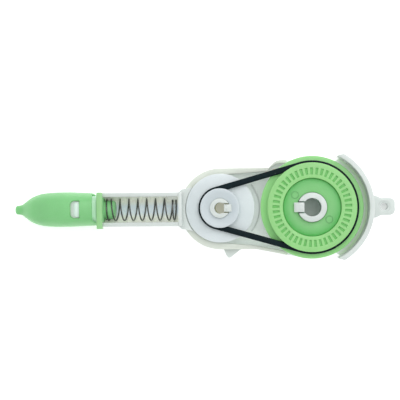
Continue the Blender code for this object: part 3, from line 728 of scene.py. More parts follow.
NOISE_SPAN = (0.3, 0.7)  # where most of a noise texture's values lie
WEAR_SPAN = (0.35, 0.7)
CLOUD = 0.05  # how far a plastic's colour strays from its mean
WHITE = (0.71, 0.76, 0.735)
# The tint colours from here to the tray floor's green are painted light and shade
HUB_SHADE_WHITE = (0.62, 0.68, 0.71)
SLOT_SHADE_GREEN = (0.20, 0.59, 0.165)
FLANGE_LIT_GREEN = (0.33, 0.74, 0.27)
HUB_EDGE_SHADE_GREEN = (0.11, 0.52, 0.12)
MINT_LIT = (0.60, 0.88, 0.66)
CHANNEL_WARM_SHADE = (0.83, 0.86, 0.77)
CHANNEL_COOL_LIGHT = (0.69, 0.78, 0.82)
FLOOR_GREEN_SHADE = (0.42, 0.62, 0.36)
RUBBER_BLACK = (0.0022, 0.0095, 0.0130)
RUBBER_RUBBED = (0.0055, 0.0165, 0.0210)
DUST_GREY = (0.32, 0.36, 0.36)
STEEL = (0.17, 0.18, 0.17)
STEEL_DULL = (0.10, 0.10, 0.09)
PAPER = ((0.90, 0.90, 0.90), (0.92, 0.92, 0.92))
GREEN_FINISH = (0.38, 0.8, 0.35)  # roughness, how deep light soaks in, and how much of it does

# Each lit below is a painted glow: emission standing in for light that comes through the translucent plastic
white_plastic = make_plastic("white_plastic", WHITE, lit=0.03)
# The arc wall: a darker beige copy of the white plastic as painted shade, with a painted glow
shaded_wall_plastic = make_plastic("shaded_wall_plastic", (0.72, 0.76, 0.69), lit=0.06)
# The neck: painted light and shade in the spring channel, and a painted glow inside it
neck_plastic = make_plastic("neck_plastic", WHITE, lit=0.19, lit_where=inside_channel, tint=neck_painted_light)
nose_plastic = make_plastic("nose_plastic", WHITE, lit=0.12, tint=nose_tint)
# The tray floor: a painted glow on its top face, and painted green shade by the guard
floor_plastic = make_plastic("floor_plastic", WHITE, lit=0.28, lit_where=on_floor, tint=floor_painted_shade)
# The catch: the white moulding painted lighter and mint, as green light off the cap round its window, with a
# painted glow
catch_plastic = make_plastic("catch_plastic", (0.80, 0.93, 0.87), 0.35, 0.8, 0.3, lit=0.08)
# The spring tab: a darker grey copy of the white plastic, as painted shade
shaded_tab_plastic = make_plastic("shaded_tab_plastic", (0.56, 0.60, 0.54))
# The posts' feet, painted for the shade down in the bores: greenish in the supply post, olive in the take-up
# post
green_shaded_bore_plastic = make_plastic("green_shaded_bore_plastic", (0.38, 0.62, 0.47), 0.45)
amber_shaded_bore_plastic = make_plastic("amber_shaded_bore_plastic", (0.77, 0.78, 0.54), 0.45, lit=0.05)
green_plastic = make_plastic("green_plastic", (0.25, 0.64, 0.26), *GREEN_FINISH)
# A darker green: the mould marks' rings, and painted shade on the cap window's rim
mark_and_rim_shade_plastic = make_plastic("mark_and_rim_shade_plastic", (0.16, 0.48, 0.16), *GREEN_FINISH)
collar_plastic = make_plastic("collar_plastic", (0.34, 0.67, 0.30), *GREEN_FINISH)
pulley_plastic = make_plastic("pulley_plastic", (0.32, 0.68, 0.25), *GREEN_FINISH, lit=0.05, tint=pulley_painted_light)
hub_plastic = make_plastic("hub_plastic", (0.25, 0.63, 0.235), *GREEN_FINISH, tint=hub_painted_shade)
reel_plastic = make_plastic("reel_plastic", (0.73, 0.79, 0.81), 0.34, 1.4, lit=0.04, tint=reel_painted_shade)
head_plastic = make_plastic("head_plastic", (0.66, 0.70, 0.68), 0.36, 0.5, 0.2)
clutch_silicone = make_plastic("clutch_silicone", (0.50, 0.52, 0.49), 0.55, 0.6, 0.3, grain=0.02)
belt_rubber = make_rubber()
spring_steel = make_steel()
supply_tape = make_tape("correction_tape", (0.74, 0.74, 0.71), 0.55, axis_x=SUPPLY_X)
wound_liner = make_tape("used_tape_wound", (0.52, 0.55, 0.54), 0.34, axis_x=TAKE_UP_X)
fresh_tape = make_tape("correction_tape_flat", (0.76, 0.76, 0.73), 0.55)
used_liner = make_tape("used_tape_flat", (0.55, 0.58, 0.57), 0.32)


# ---- frame


def body_path(inset, arc_inset, arc_angles):
    """The edge of the body from the upper bump round the take-up reel to the lower edge, drawn inwards."""
    centre = (TAKE_UP_X, BODY_ARC_Y)
    upper = [(x - inset / 2, y - inset) for x, y in BUMP if x < WALL_END_X]
    lower = [(x, y + inset) for x, y in LOWER_EDGE]
    share = (WALL_END_X - lower[0][0]) / (lower[1][0] - lower[0][0])
    lower[1] = (WALL_END_X, lower[0][1] + share * (lower[1][1] - lower[0][1]))
    upper_end = (WALL_END_X, BUMP[-1][1] - inset)
    return [upper_end, *upper[::-1], *arc(centre, BODY_R - arc_inset, *arc_angles), *lower]


def plate_outline():
    """The back plate: body edge, a round bay under the supply pulley, and the guard's floor."""
    axis = (SUPPLY_X, 0.0)
    bay_top = degrees(atan2(BUMP[-1][1], BUMP[-1][0] - SUPPLY_X))
    bay_low = degrees(atan2(LOWER_EDGE[-1][1], LOWER_EDGE[-1][0] - SUPPLY_X))
    edge = [*BUMP[::-1], *arc((TAKE_UP_X, BODY_ARC_Y), BODY_R, 90.0, 270.0), *LOWER_EDGE]
    lower_bay = arc(axis, PLATE_REEL_R, bay_low + 3.0, -GUARD_HALF_ANGLE)
    guard_middle = (GUARD_OUTER_R + GUARD_INNER_R) / 2
    guard_end = GUARD_HALF_ANGLE - GUARD_CORNER_ANGLE
    guard = arc(axis, guard_middle, -guard_end, guard_end)
    upper_bay = arc(axis, PLATE_REEL_R, GUARD_HALF_ANGLE, bay_top - 3.0)
    return edge + lower_bay + guard + upper_bay


def moulded(name, shape, material=None):
    """A piece of the white frame moulding."""
    return show(name, shape, material or white_plastic, "frame", "frame", slot="white_plastic")


def build_tray():
    posts = ((SUPPLY_X, SUPPLY_POST), (TAKE_UP_X, TAKE_UP_POST))
    bores = [prism(circle(post["hole"] + 0.1), -1.0, PLATE_T + 1.0, x=x) for x, post in posts]
    floor = carve(prism(rounded(plate_outline(), 0.3), 0.0, PLATE_T), *bores)
    moulded("frame_floor", soften(floor, EDGE), floor_plastic)
    wall = body_path(0.02, 0.02, (90.0, 270.0)) + body_path(WALL_T, ARC_WALL_T, ARC_WALL_ANGLES)[::-1]
    cut_wall = carve(prism(rounded(wall, 0.25), 0.2, WALL_TOP_Z), *mouths())
    moulded("frame_wall", soften(cut_wall, EDGE), shaded_wall_plastic)
    moulded("frame_tooth", soften(prism(rounded(TOOTH, 0.3), 0.0, TOOTH_TOP_Z), EDGE))
    half = RIB_HALF_ANGLE
    rib = arc(ORIGIN, RIB_R + RIB_T / 2, -half, half) + arc(ORIGIN, RIB_R - RIB_T / 2, half, -half)
    moulded("frame_floor_rib", soften(prism(rib, 0.5, RIB_TOP_Z, x=TAKE_UP_X), 0.1))


def build_guard():
    half = GUARD_HALF_ANGLE
    outer_half = half - GUARD_CORNER_ANGLE
    outline = arc(ORIGIN, GUARD_OUTER_R, -outer_half, outer_half)
    outline += arc(ORIGIN, GUARD_INNER_R, half, -half)
    moulded("frame_guard", soften(prism(rounded(outline, 0.3), 0.0, GUARD_TOP_Z, x=SUPPLY_X), 0.18))


def build_lug():
    corner_x = FRAME_HIGH.x - LUG_CORNER_R
    corner_y = LUG_HALF_WIDTH - LUG_CORNER_R
    flare = [(LUG_ROOT_X, LUG_FLARE[0][1]), *LUG_FLARE]
    outline = [
        *((x, -y) for x, y in flare),
        *arc((corner_x, -corner_y), LUG_CORNER_R, -90.0, 0.0, 9.0),
        *arc((corner_x, corner_y), LUG_CORNER_R, 0.0, 90.0, 9.0),
        *flare[::-1],
    ]
    hole = prism(circle(LUG_HOLE_R, 7.5), -1.0, LUG_TOP_Z + 1.0, x=LUG_HOLE_X)
    dish_section = (
        (LUG_HOLE_R - 0.5, LUG_TOP_Z - 0.22), (LUG_HOLE_R + 0.3, LUG_TOP_Z - 0.2),
        (LUG_RIM_R, LUG_TOP_Z + 0.01), (LUG_HOLE_R - 0.5, LUG_TOP_Z + 0.5),
    )
    dish = turned(dish_section, LUG_HOLE_X, sides=64, edge=0.05)
    base = soften(prism(outline, 0.0, LUG_TOP_Z), 0.3)
    moulded("frame_lug", carve(base, hole, dish))


def chamfered(x_span, half_width, z_span, chamfer):
    """A bar along X whose cross-section has its four corners cut off."""
    low, high = z_span
    low_side, high_side = low + chamfer, high - chamfer
    inner = half_width - chamfer
    section = [(-half_width, low_side), (-inner, low), (inner, low), (half_width, low_side)]
    section += [(half_width, high_side), (inner, high), (-inner, high), (-half_width, high_side)]
    return along_x(section, x_span)


def neck_sides(half_width):
    return (NECK_Y - half_width, NECK_Y + half_width)


def mouths():
    """Cutters for the two mouths by which the tape leaves the tunnel for the tray."""
    cutters = []
    for side in (-1, 1):
        edges = sorted((NECK_Y + side * TUNNEL_PILLAR_HALF_WIDTH, NECK_Y + side * TUNNEL_HALF_WIDTH))
        cutters.append(block((CHANNEL_BACK_X - 1.0, TUNNEL_MOUTH_BACK_X), edges, (PLATE_T, TUNNEL_ROOF_Z)))
    return cutters


def trough(x_span, radius, top_z):
    """A bar along X with a round bottom, on the axis of the spring channel."""
    section = arc((NECK_Y, CHANNEL_AXIS_Z), radius, 180.0, 360.0, 5.0)
    return along_x([*section, (NECK_Y + radius, top_z), (NECK_Y - radius, top_z)], x_span)


def tunnel(x_span):
    return block(x_span, neck_sides(TUNNEL_HALF_WIDTH), (-1.0, TUNNEL_ROOF_Z))


def build_neck():
    front, back = NECK_FRONT_X, CHANNEL_BACK_X
    walls = neck_sides(NECK_HALF_WIDTH)
    body = block((front, back + 0.4), walls, (0.0, NECK_TOP_Z))
    channel = trough((front - 1.0, back), CHANNEL_R, NECK_TOP_Z + 1.0)
    neck = carve(body, channel, tunnel((front - 1.0, back - 0.15)))
    moulded("frame_neck", soften(neck, WALL_EDGE), neck_plastic)
    end_wall = carve(block((back, NECK_BACK_X), walls, (0.0, NECK_TOP_Z)), *mouths())
    moulded("frame_end_wall", soften(end_wall, WALL_EDGE))

    nose_z = (NOSE_LOW_Z, NOSE_HIGH_Z)
    nose = chamfered((NOSE_FRONT_X, front + OVERLAP), NOSE_HALF_WIDTH, nose_z, NOSE_CHAMFER)
    seat = trough((front - 0.4, front + 1.0), CHANNEL_R, NECK_TOP_Z)
    hollow = carve(nose, tunnel((NOSE_FRONT_X - 1.0, front + 1.0)), seat)
    moulded("frame_nose", soften(hollow, WALL_EDGE), nose_plastic)
    wedge = along_y(CATCH_SECTION, (-CATCH_HALF_WIDTH, CATCH_HALF_WIDTH))
    plan = front_rounded((CATCH_SECTION[0][0], CATCH_SECTION[1][0]), CATCH_HALF_WIDTH - 0.01, CATCH_CORNER_R)
    catch = carve(prism(plan, NOSE_HIGH_Z - 1.0, NECK_TOP_Z), wedge, operation="INTERSECT")
    moulded("frame_cap_catch", soften(catch, 0.1), catch_plastic)
    moulded("frame_spring_tab", soften(block(SPRING_TAB_X, SPRING_TAB_Y, SPRING_TAB_Z), 0.1), shaded_tab_plastic)


def build_shoulder():
    """The step where the neck widens into the tray, hollowed round the take-up reel."""
    low_y, high_y = neck_sides(NECK_HALF_WIDTH)
    back_y = SHOULDER[-1][1]
    turn_low = 180.0 + degrees(asin((back_y - low_y) / REEL_BAY_R))
    turn_high = 180.0 - degrees(asin((high_y + back_y) / REEL_BAY_R))
    outline = [
        *((x, low_y - out) for x, out in SHOULDER),
        *arc((TAKE_UP_X, BODY_ARC_Y), REEL_BAY_R, turn_low, turn_high),
        *((x, high_y + out) for x, out in SHOULDER[::-1]),
    ]
    shoulder = carve(prism(rounded(outline, 0.2), 0.0, SHOULDER_TOP_Z), *mouths())
    moulded("frame_shoulder", soften(shoulder, EDGE))


def build_post(name, x, post, bore_plastic):
    """A hollow post, slit on both sides of one snap finger whose hook holds the reel down."""
    radius, hole, half, side = post["radius"], post["hole"], post["finger"], post["side"]
    turn = 0.0 if side > 0 else 180.0
    gap = half + SLIT_W

    def wall(edge, side, whole):
        """The post's wall from a line at edge beside the finger's middle to its mirror image."""
        at, at_hole = (side * degrees(asin(edge / r)) for r in (radius, hole))
        outer = arc(ORIGIN, radius, turn + at, turn + whole - at)
        return outer + arc(ORIGIN, hole, turn + whole - at_hole, turn + at_hole)

    # The foot carries the bore's painted shade
    foot = turned([(hole, 0.05), (radius, 0.05), (radius, SLIT_LOW_Z), (hole, SLIT_LOW_Z)], x, edge=0.02)
    moulded(f"{name}_foot", foot, bore_plastic)
    ring = prism(rounded(wall(gap, 1, 360.0), 0.08), SLIT_LOW_Z - 0.05, POST_TOP_Z, x=x)
    moulded(f"{name}_ring", soften(ring, 0.14))
    finger = prism(wall(half, -1, 0.0), SLIT_LOW_Z - 0.05, POST_TOP_Z - 0.4, x=x)
    moulded(f"{name}_finger", soften(finger, 0.06))
    inside = sqrt(hole**2 - half**2)
    reach, hook_z, root_z = post["reach"], post["hook_z"], POST_TOP_Z - 0.8
    section = [(inside, root_z), (inside, POST_TOP_Z), (reach - 1.0, POST_TOP_Z), (reach, hook_z + 0.55)]
    section += [(reach, hook_z), (radius - 0.3, hook_z), (radius - 0.3, root_z)]
    hook = along_y([(x + side * along, z) for along, z in section], (-half, half))
    moulded(f"{name}_hook", soften(hook, 0.1))


# ---- reels


def clamp(value, low=0.0, high=1.0):
    return min(max(value, low), high)


def slotted(points, x):
    """The pulley's rings, its top face sunk where a slot lies."""
    pitch = 360.0 / SLOT_COUNT
    inner, outer = SLOT_R
    rings = []
    for radius, z in points:
        on_top = z > RIM_TOP_Z - 1e-6
        inside = clamp(min(radius - inner, outer - radius) / 0.08)
        ring = []
        for middle, step in ((i * pitch, step) for i in range(SLOT_COUNT) for step in SLOT_SAMPLES_DEG):
            from_middle = min(abs(step), pitch - abs(step))
            sunk = clamp((SLOT_HALF_DEG + SLOT_WALL_DEG / 2 - from_middle) / SLOT_WALL_DEG)
            drop = SLOT_DEPTH * sunk * inside if on_top else 0.0
            turn = radians(middle + step + SLOT_PHASE_DEG)
            ring.append((x + radius * cos(turn), radius * sin(turn), z - drop))
        rings.append(ring)
    return rings


def build_pulley():
    corners = [
        (PULLEY_LIP_R, FLANGE_LOW_Z), (PULLEY_FLANGE_R, FLANGE_LOW_Z),
        (PULLEY_FLANGE_R, GROOVE_LOW_Z), (PULLEY_GROOVE_R, GROOVE_LOW_Z),
        (PULLEY_GROOVE_R, GROOVE_HIGH_Z), (PULLEY_RIM_R, GROOVE_HIGH_Z), (PULLEY_RIM_R, RIM_TOP_Z),
        (PULLEY_BORE_R, RIM_TOP_Z), (PULLEY_BORE_R, PULLEY_LIP_TOP_Z),
        (PULLEY_LIP_R, PULLEY_LIP_TOP_Z),
    ]
    profile = rounded(corners, 0.2)
    last_outer = max(i for i, (r, z) in enumerate(profile) if z > RIM_TOP_Z - 1e-6 and r > SLOT_R[1])
    inner, outer = SLOT_R
    steps = [outer + 0.01, outer - 0.04, outer - 0.08, outer - 0.3]
    steps += [(inner + outer) / 2, inner + 0.3, inner + 0.08, inner + 0.04, inner - 0.01]
    profile[last_outer + 1 : last_outer + 1] = [(radius, RIM_TOP_Z) for radius in steps]
    wheel = lofted(slotted(profile, SUPPLY_X), closed=True)
    show("supply_pulley_wheel", wheel, pulley_plastic, "supply_pulley", "supply_pulley", slot="green_plastic")


def build_supply_core():
    bore = SUPPLY_BORE_R
    profile = [
        (bore, CORE_LOW.z), (DRUM_R, CORE_LOW.z), (DRUM_R, FLANGE_LOW_Z - 0.1),
        (HUB_R, FLANGE_LOW_Z - 0.1), (HUB_R, HUB_PLATE_LOW_Z), (HUB_PLATE_R, HUB_PLATE_LOW_Z),
        (HUB_PLATE_R, CORE_HIGH.z), (bore, CORE_HIGH.z),
    ]
    core = turned(profile, SUPPLY_X, edge=0.15)
    show("supply_core_hub", core, hub_plastic, "supply_core", "supply_core", slot="green_plastic")
    low, high = CORE_HIGH.z - MARK_SUNK, CORE_HIGH.z + MARK_HEIGHT
    inner, outer = MARK_R - MARK_LINE / 2, MARK_R + MARK_LINE / 2
    for side, letter in ((1, "a"), (-1, "b")):
        mark = [(inner, low), (outer, low), (outer, high), (inner, high)]
        ring = turned(mark, SUPPLY_X + side * MARK_PLACE[0], sides=48, edge=0.05)
        bmesh.ops.translate(ring, verts=ring.verts, vec=(0.0, side * MARK_PLACE[1] * MM, 0.0))
        show(f"core_mould_mark_{letter}", ring, mark_and_rim_shade_plastic, "supply_core", slot="green_plastic")


def roll_profile(inner, outer, low, high, layer):
    """A wound roll's section: its outer edge straight, its side faces stepped by uneven layers."""
    count = max(4, round((outer - inner) / layer))
    lower, upper = [], []
    for i in range(count + 1):
        radius = inner + (outer - inner) * i / count
        wander = 0.05 * sin(i * 2.4) * cos(i * 0.7)
        lower.append((radius, low + 0.06 + wander))
        upper.append((radius, high - 0.06 + wander))
    return lower + upper[::-1]


def build_rolls():
    rolls = (
        ("supply_tape", "supply_core", SUPPLY_X, DRUM_R, ROLL_LOW, ROLL_HIGH),
        ("take_up_tape", "take_up_reel", TAKE_UP_X, TAKE_UP_DRUM_R, USED_LOW, USED_HIGH),
    )
    looks = ((supply_tape, "correction_tape"), (wound_liner, "used_tape"))
    for (name, body, x, drum_r, low, high), (material, slot) in zip(rolls, looks, strict=True):
        profile = roll_profile(drum_r + 0.02, high.x - x, low.z, high.z, 0.14)
        show(f"{name}_winding", turned(profile, x, edge=0.01), material, body, f"{name}_roll", slot=slot)


def build_take_up_reel():
    bore = TAKE_UP_BORE_R
    profile = [
        (bore, REEL_LOW.z), (TAKE_UP_DRUM_R, REEL_LOW.z), (TAKE_UP_DRUM_R, FLANGE_LOW_Z),
        (TAKE_UP_FLANGE_R, FLANGE_LOW_Z), (TAKE_UP_FLANGE_R, GROOVE_LOW_Z),
        (TAKE_UP_GROOVE_R, GROOVE_LOW_Z), (TAKE_UP_GROOVE_R, GROOVE_HIGH_Z),
        (TAKE_UP_HUB_R, GROOVE_HIGH_Z), (TAKE_UP_HUB_R, REEL_HIGH.z),
        (TAKE_UP_DISH_R[1], REEL_HIGH.z), (TAKE_UP_DISH_R[0], REEL_HIGH.z - TAKE_UP_DISH),
        (bore, REEL_HIGH.z - TAKE_UP_DISH),
    ]
    reel = turned(profile, TAKE_UP_X, edge=0.15)
    show("take_up_reel_body", reel, reel_plastic, "take_up_reel", "take_up_reel", slot="reel_plastic")


# ---- belt, spring and tape


def belt_loop(offset):
    """The belt's path round both reels, offset outwards; straight where it runs free."""
    lean = degrees(asin((BELT_SUPPLY_R - BELT_TAKE_UP_R) / REEL_SPACING))
    supply = arc((SUPPLY_X, 0.0), BELT_SUPPLY_R + offset, -90.0 - lean, 90.0 + lean, 2.0)
    take_up = arc((TAKE_UP_X, 0.0), BELT_TAKE_UP_R + offset, 90.0 + lean, 270.0 - lean, 2.0)
    return supply + take_up


def build_belt():
    half = BELT_T / 2
    low, high = BELT_LOW.z, BELT_HIGH.z
    section = rounded(((-half, low), (half, low), (half, high), (-half, high)), 0.28, 4)
    rings = [[(x, y, z) for x, y in belt_loop(offset)] for offset, z in section]
    belt = lofted(rings, closed=True)
    show("drive_belt_loop", belt, belt_rubber, "frame", "drive_belt", slot="belt_rubber")


def build_spring():
    """A compression spring: closed turns at each end, open turns between."""
    front, back = SPRING_LOW.x, SPRING_HIGH.x
    closed = SPRING_CLOSED_TURNS * SPRING_CLOSED_PITCH
    open_pitch = (back - front - 2 * WIRE_R - 2 * closed) / SPRING_OPEN_TURNS
    turns = SPRING_OPEN_TURNS + 2 * SPRING_CLOSED_TURNS
    points = []
    for i in range(round(turns * SPRING_STEPS_PER_TURN) + 1):
        turn = i / SPRING_STEPS_PER_TURN
        opened = clamp(turn - SPRING_CLOSED_TURNS, 0.0, SPRING_OPEN_TURNS)
        x = front + WIRE_R + opened * open_pitch + (turn - opened) * SPRING_CLOSED_PITCH
        angle = tau * (turn - SPRING_TOP_TURN)
        points.append((x, NECK_Y + SPRING_R * cos(angle), SPRING_Z + SPRING_R * sin(angle)))
    coil = tube(points, WIRE_R, WIRE_SIDES)
    spring = show("return_spring_coil", coil, spring_steel, "frame", "return_spring", slot="spring_steel")
    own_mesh(spring)


def tangent_point(start, centre, radius, side):
    """Where a line from start touches a circle; side is +1 for its upper edge, -1 for its lower."""
    away = Vector(centre) - Vector(start)
    heading = atan2(away.y, away.x) + side * asin(radius / away.length)
    return (centre[0] - side * radius * sin(heading), centre[1] + side * radius * cos(heading))


def band(path, thickness, low, high):
    """A flat strip of tape on edge that follows an open path, with a rounded section."""
    half = thickness / 2
    section = rounded(((-half, low), (half, low), (half, high), (-half, high)), 0.05, 2)
    rings = []
    for point, along in headings(path):
        across = Vector((-along.y, along.x))
        rings.append([(*(point + across * offset), z) for offset, z in section])
    return lofted(rings, closed=False)


def build_tape_runs():
    """Both runs of tape between the reels and the blade, joined round the blade's edge."""
    low, high = box_mm("tape_feed_run")
    edge_centre = (HEAD_EDGE_X + HEAD_EDGE_R, 0.0)
    edge_r = HEAD_EDGE_R + TAPE_T
    runs = (
        ("tape_feed", 1, SUPPLY_X, ROLL_HIGH.x - SUPPLY_X, fresh_tape, "tape_feed_run", "correction_tape"),
        ("tape_return", -1, TAKE_UP_X, USED_HIGH.x - TAKE_UP_X, used_liner, "tape_return_run", "used_tape"),
    )
    for name, side, reel_x, roll_r, material, node, slot in runs:
        blade = (TAPE_BLADE[0], side * TAPE_BLADE[1])
        mouth = (TAPE_MOUTH[0], side * TAPE_MOUTH[1] + NECK_Y)
        leave = tangent_point(mouth, (reel_x, 0.0), roll_r + TAPE_T / 2, side)
        lean = degrees(atan2(blade[1], blade[0] - edge_centre[0]))
        wrap = arc(edge_centre, edge_r, 180.0 - side * 2.0, side * 90.0 + lean, 10.0)
        shape = band([*wrap, blade, mouth, leave], TAPE_T, low.z, high.z)
        show(name, shape, material, "frame", node, slot=slot)


# ---- collar, head and cap


def build_collar():
    """The green seat that slides on the neck: a bar over it, a lip outside, a plate and boss within."""
    x_span = (COLLAR_LOW.x, COLLAR_BAR_BACK_X)
    leg_y = (COLLAR_LOW.y, COLLAR_LOW.y + COLLAR_LEG_T)
    leg = block(x_span, leg_y, (COLLAR_LEG_LOW_Z, COLLAR_HIGH.z - 0.1))
    plate = trough((COLLAR_LOW.x + 0.01, COLLAR_PLATE_BACK_X), COLLAR_PLATE_R, COLLAR_BAR_Z[0] + 0.1)
    stations = [(COLLAR_PLATE_BACK_X - 0.2, BOSS_R)]
    for turn in (radians(11.0 * i) for i in range(9)):
        along, inward = BOSS_NOSE * sin(turn), BOSS_NOSE * (1 - cos(turn))
        stations.append((BOSS_END_X - BOSS_NOSE + along, BOSS_R - inward))
    rings = []
    for x, radius in stations:
        around = even_turns(64)
        rings.append([(x, NECK_Y + radius * cos(a), SPRING_Z + radius * sin(a)) for a in around])
    bar = block(x_span, (COLLAR_LOW.y, COLLAR_HIGH.y), COLLAR_BAR_Z)
    parts = (
        ("bar", soften(bar, 0.3, steps=3), collar_plastic),
        ("leg", soften(leg, EDGE), collar_plastic),
        ("plate", soften(plate, 0.15), green_plastic),
        ("boss", lofted(rings, closed=False), green_plastic),
    )
    for name, shape, plastic in parts:
        show(f"collar_{name}", shape, plastic, "slide_collar", "slide_collar", slot="green_plastic")


def build_head():
    """The blade the tape turns round, its two edge guides, and the stem held in the nose."""
    stem = block((HEAD_ROOT_X, HEAD_HIGH.x), (-HEAD_STEM_HALF_WIDTH, HEAD_STEM_HALF_WIDTH), HEAD_STEM_Z)
    edge = arc((HEAD_EDGE_X + HEAD_EDGE_R, 0.0), HEAD_EDGE_R, 100.0, 260.0, 10.0)
    root_x = HEAD_ROOT_X + 0.2
    blade = [(root_x, -HEAD_ROOT_HALF_WIDTH), (root_x, HEAD_ROOT_HALF_WIDTH), *edge]
    guide = [
        (HEAD_ROOT_X, -GUIDE_HALF_WIDTH), (HEAD_ROOT_X, GUIDE_HALF_WIDTH),
        (GUIDE_EDGE_X, GUIDE_EDGE_HALF_WIDTH), (GUIDE_EDGE_X, -GUIDE_EDGE_HALF_WIDTH),
    ]
    pieces = {
        "applicator_stem": soften(stem, EDGE),
        "applicator_blade": soften(prism(blade, *HEAD_BLADE_Z), 0.1),
        "applicator_guide_below": soften(prism(rounded(guide, 0.5, 5), *GUIDE_BELOW_Z), 0.06),
        "applicator_guide_above": soften(prism(rounded(guide, 0.5, 5), *GUIDE_ABOVE_Z), 0.1),
    }
    for name, shape in pieces.items():
        show(name, shape, head_plastic, "frame", "applicator_head", slot="head_plastic")


def super_section(station, roundness):
    """A rounded upright section at a station of (x, half width, low, high); more roundness squares it."""
    _, half_width, low, high = station
    middle, half_height = (low + high) / 2, (high - low) / 2
    section = []
    for i in range(CAP_SIDES):
        angle = tau * (i + 0.5) / CAP_SIDES
        across, up = cos(angle), sin(angle)
        y = half_width * copysign(abs(across) ** (2 / roundness), across)
        section.append((y, middle + half_height * copysign(abs(up) ** (2 / roundness), up)))
    return section


def cap_skin(stations, step, roundness):
    """Rings along the cap, as far as its rim."""
    inside = [s for s in smooth_stations(stations, step) if s[0] <= CAP_RIM_X]
    return [[(s[0], y, z) for y, z in super_section(s, roundness)] for s in inside]


def cap_rear(y):
    """Where the cap's rim ends: a tail at its near side, and a cut-off far corner."""
    place = clamp(y, CAP_REAR[0][0], CAP_REAR[-1][0])
    for (y0, x0), (y1, x1) in pairwise(CAP_REAR):
        if place <= y1:
            return x0 + (x1 - x0) * (place - y0) / (y1 - y0)
    return CAP_REAR[-1][1]


def cap_rim(outer, inner):
    """Rings over the rim, from the outer section round to the inner one."""
    rings = []
    for i in range(7):
        turn = pi * i / 6
        ring = []
        for (y0, z0), (y1, z1) in zip(outer, inner, strict=True):
            across = Vector((y1 - y0, z1 - z0))
            soft = min(CAP_RIM_EDGE, 0.45 * across.length)
            inset = soft * (1 - cos(turn))
            if turn > pi / 2:
                inset = across.length - soft * (1 + cos(turn))
            point = Vector((y0, z0)) + across.normalized() * inset
            ring.append((cap_rear(y0) - soft * (1 - sin(turn)), *point))
        rings.append(ring)
    return rings


def build_cap():
    """The nose cap: one continuous skin, outside to the rim and back along the cavity."""
    rings = cap_skin(CAP_STATIONS, CAP_RING_STEP, CAP_ROUNDNESS)
    outer = super_section(CAP_STATIONS[-1], CAP_ROUNDNESS)
    inner = super_section(CAP_CAVITY_STATIONS[-1], CAP_CAVITY_ROUNDNESS)
    start = rings[-1]
    for share in (0.35, 0.7):
        ring = []
        for (_, y0, z0), (y1, z1) in zip(start, outer, strict=True):
            y, z = y0 + share * (y1 - y0), z0 + share * (z1 - z0)
            ring.append((CAP_RIM_X + share * (cap_rear(y) - CAP_RIM_X), y, z))
        rings.append(ring)
    rings += cap_rim(outer, inner)
    rings += cap_skin(CAP_CAVITY_STATIONS, 2 * CAP_RING_STEP, CAP_CAVITY_ROUNDNESS)[::-1]
    outline = front_rounded(WINDOW_X, WINDOW_HALF_WIDTH, WINDOW_CORNER_R)
    window = prism(outline, WINDOW_LOW_Z, NECK_TOP_Z + 2.0)
    cap = carve(lofted(rings, closed=False), window)
    show("head_cap_shell", cap, green_plastic, "head_cap", "head_cap", slot="green_plastic")

    # A soft bead round the window, whose darker green paints the shade on the window's rim
    lip = [(x, y, cap_top(x, y) - 0.05) for x, y in rounded(outline, 0.3, 4)]
    shape = tube([*lip, lip[0], lip[1]], WINDOW_LIP, 10)
    show("head_cap_window_lip", shape, mark_and_rim_shade_plastic, "head_cap", slot="green_plastic")


def cap_top(x, y):
    """The height of the cap's outside at a place on its top."""
    before = max(s for s in CAP_STATIONS if s[0] <= x)
    after = min(s for s in CAP_STATIONS if s[0] > x)
    share = (x - before[0]) / (after[0] - before[0])
    half_width, low, high = (a + share * (b - a) for a, b in zip(before[1:], after[1:], strict=True))
    across = abs(y) / half_width
    return (low + high) / 2 + (high - low) / 2 * (1 - across**CAP_ROUNDNESS) ** (1 / CAP_ROUNDNESS)


# ---- stage


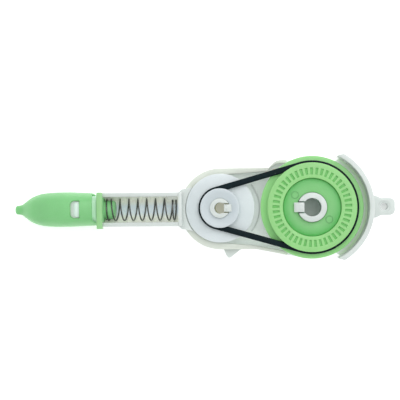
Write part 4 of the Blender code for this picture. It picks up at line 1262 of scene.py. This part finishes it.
def build_stage():
    material, tree, shader = new_material("studio_paper")
    fibre = noise(tree, 0.8, detail=4.0)
    paper = blend_colour(tree, ramp(tree, fibre, *NOISE_SPAN, 0.0, 1.0), *PAPER)
    glow = PAPER_GLOW
    for x, radius, level in PAPER_SHADE:
        under = ramp(tree, distance_from(tree, x), radius * MM, (radius + 0.5) * MM, level, 1.0)
        glow = maths(tree, "MULTIPLY", under, glow)
    feed(tree, shader, Base_Color=paper, Roughness=0.9, Specular_IOR_Level=0.1)
    feed(tree, shader, Emission_Color=(1.0, 1.0, 1.0, 1.0), Emission_Strength=glow)
    bumped(tree, shader, (fibre, 0.01))
    shape = bmesh.new()
    bmesh.ops.create_grid(shape, x_segments=1, y_segments=1, size=1.5)
    floor = new_object("studio_floor", shape)
    floor.data.materials.append(material)


def build_light():
    world = bpy.data.worlds.new("studio")
    bpy.context.scene.world = world
    world.use_nodes = True
    tree = world.node_tree
    feed(tree, tree.nodes["Background"], Color=(0.98, 1.0, 1.0, 1.0), Strength=0.66)
    light = bpy.data.lights.new("softbox", "AREA")
    light.shape = "DISK"
    light.size = 0.9
    light.energy = 4.0
    item = add_object("softbox", light)
    item.location = (0.25, 0.35, 0.9)
    item.rotation_euler = (-Vector(item.location)).to_track_quat("-Z", "Y").to_euler()


def build_camera():
    data = bpy.data.cameras.new("camera")
    place = Vector((CAMERA_X, 0.0, CAMERA_LEVEL + CAMERA_HEIGHT)) * MM
    target = Vector((*VIEW_CENTRE, CAMERA_LEVEL)) * MM
    data.sensor_width = 36.0
    data.lens = data.sensor_width * (target - place).length / (VIEW_WIDTH * MM)
    data.clip_start = 0.01
    camera = add_object("camera", data)
    camera.location = place
    forward = (target - place).normalized()
    up = Matrix.Rotation(radians(90.0 + VIEW_ROLL_DEG), 3, "Z") @ Vector((1.0, 0.0, 0.0))
    right = forward.cross(up).normalized()
    camera.rotation_euler = Matrix((right, right.cross(forward), -forward)).transposed().to_euler()
    bpy.context.scene.camera = camera
    bpy.context.scene.view_settings.view_transform = "Standard"


for build in (build_stage, build_light, build_camera, build_tray, build_guard, build_lug, build_neck):
    build()
build_shoulder()
build_post("supply_post", SUPPLY_X, SUPPLY_POST, green_shaded_bore_plastic)
build_post("take_up_post", TAKE_UP_X, TAKE_UP_POST, amber_shaded_bore_plastic)
for build in (build_pulley, build_supply_core, build_rolls, build_take_up_reel, build_belt, build_spring):
    build()
for build in (build_tape_runs, build_collar, build_head, build_cap):
    build()

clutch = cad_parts["clutch_ring"]
clutch.data.materials.clear()
clutch.data.materials.append(clutch_silicone)
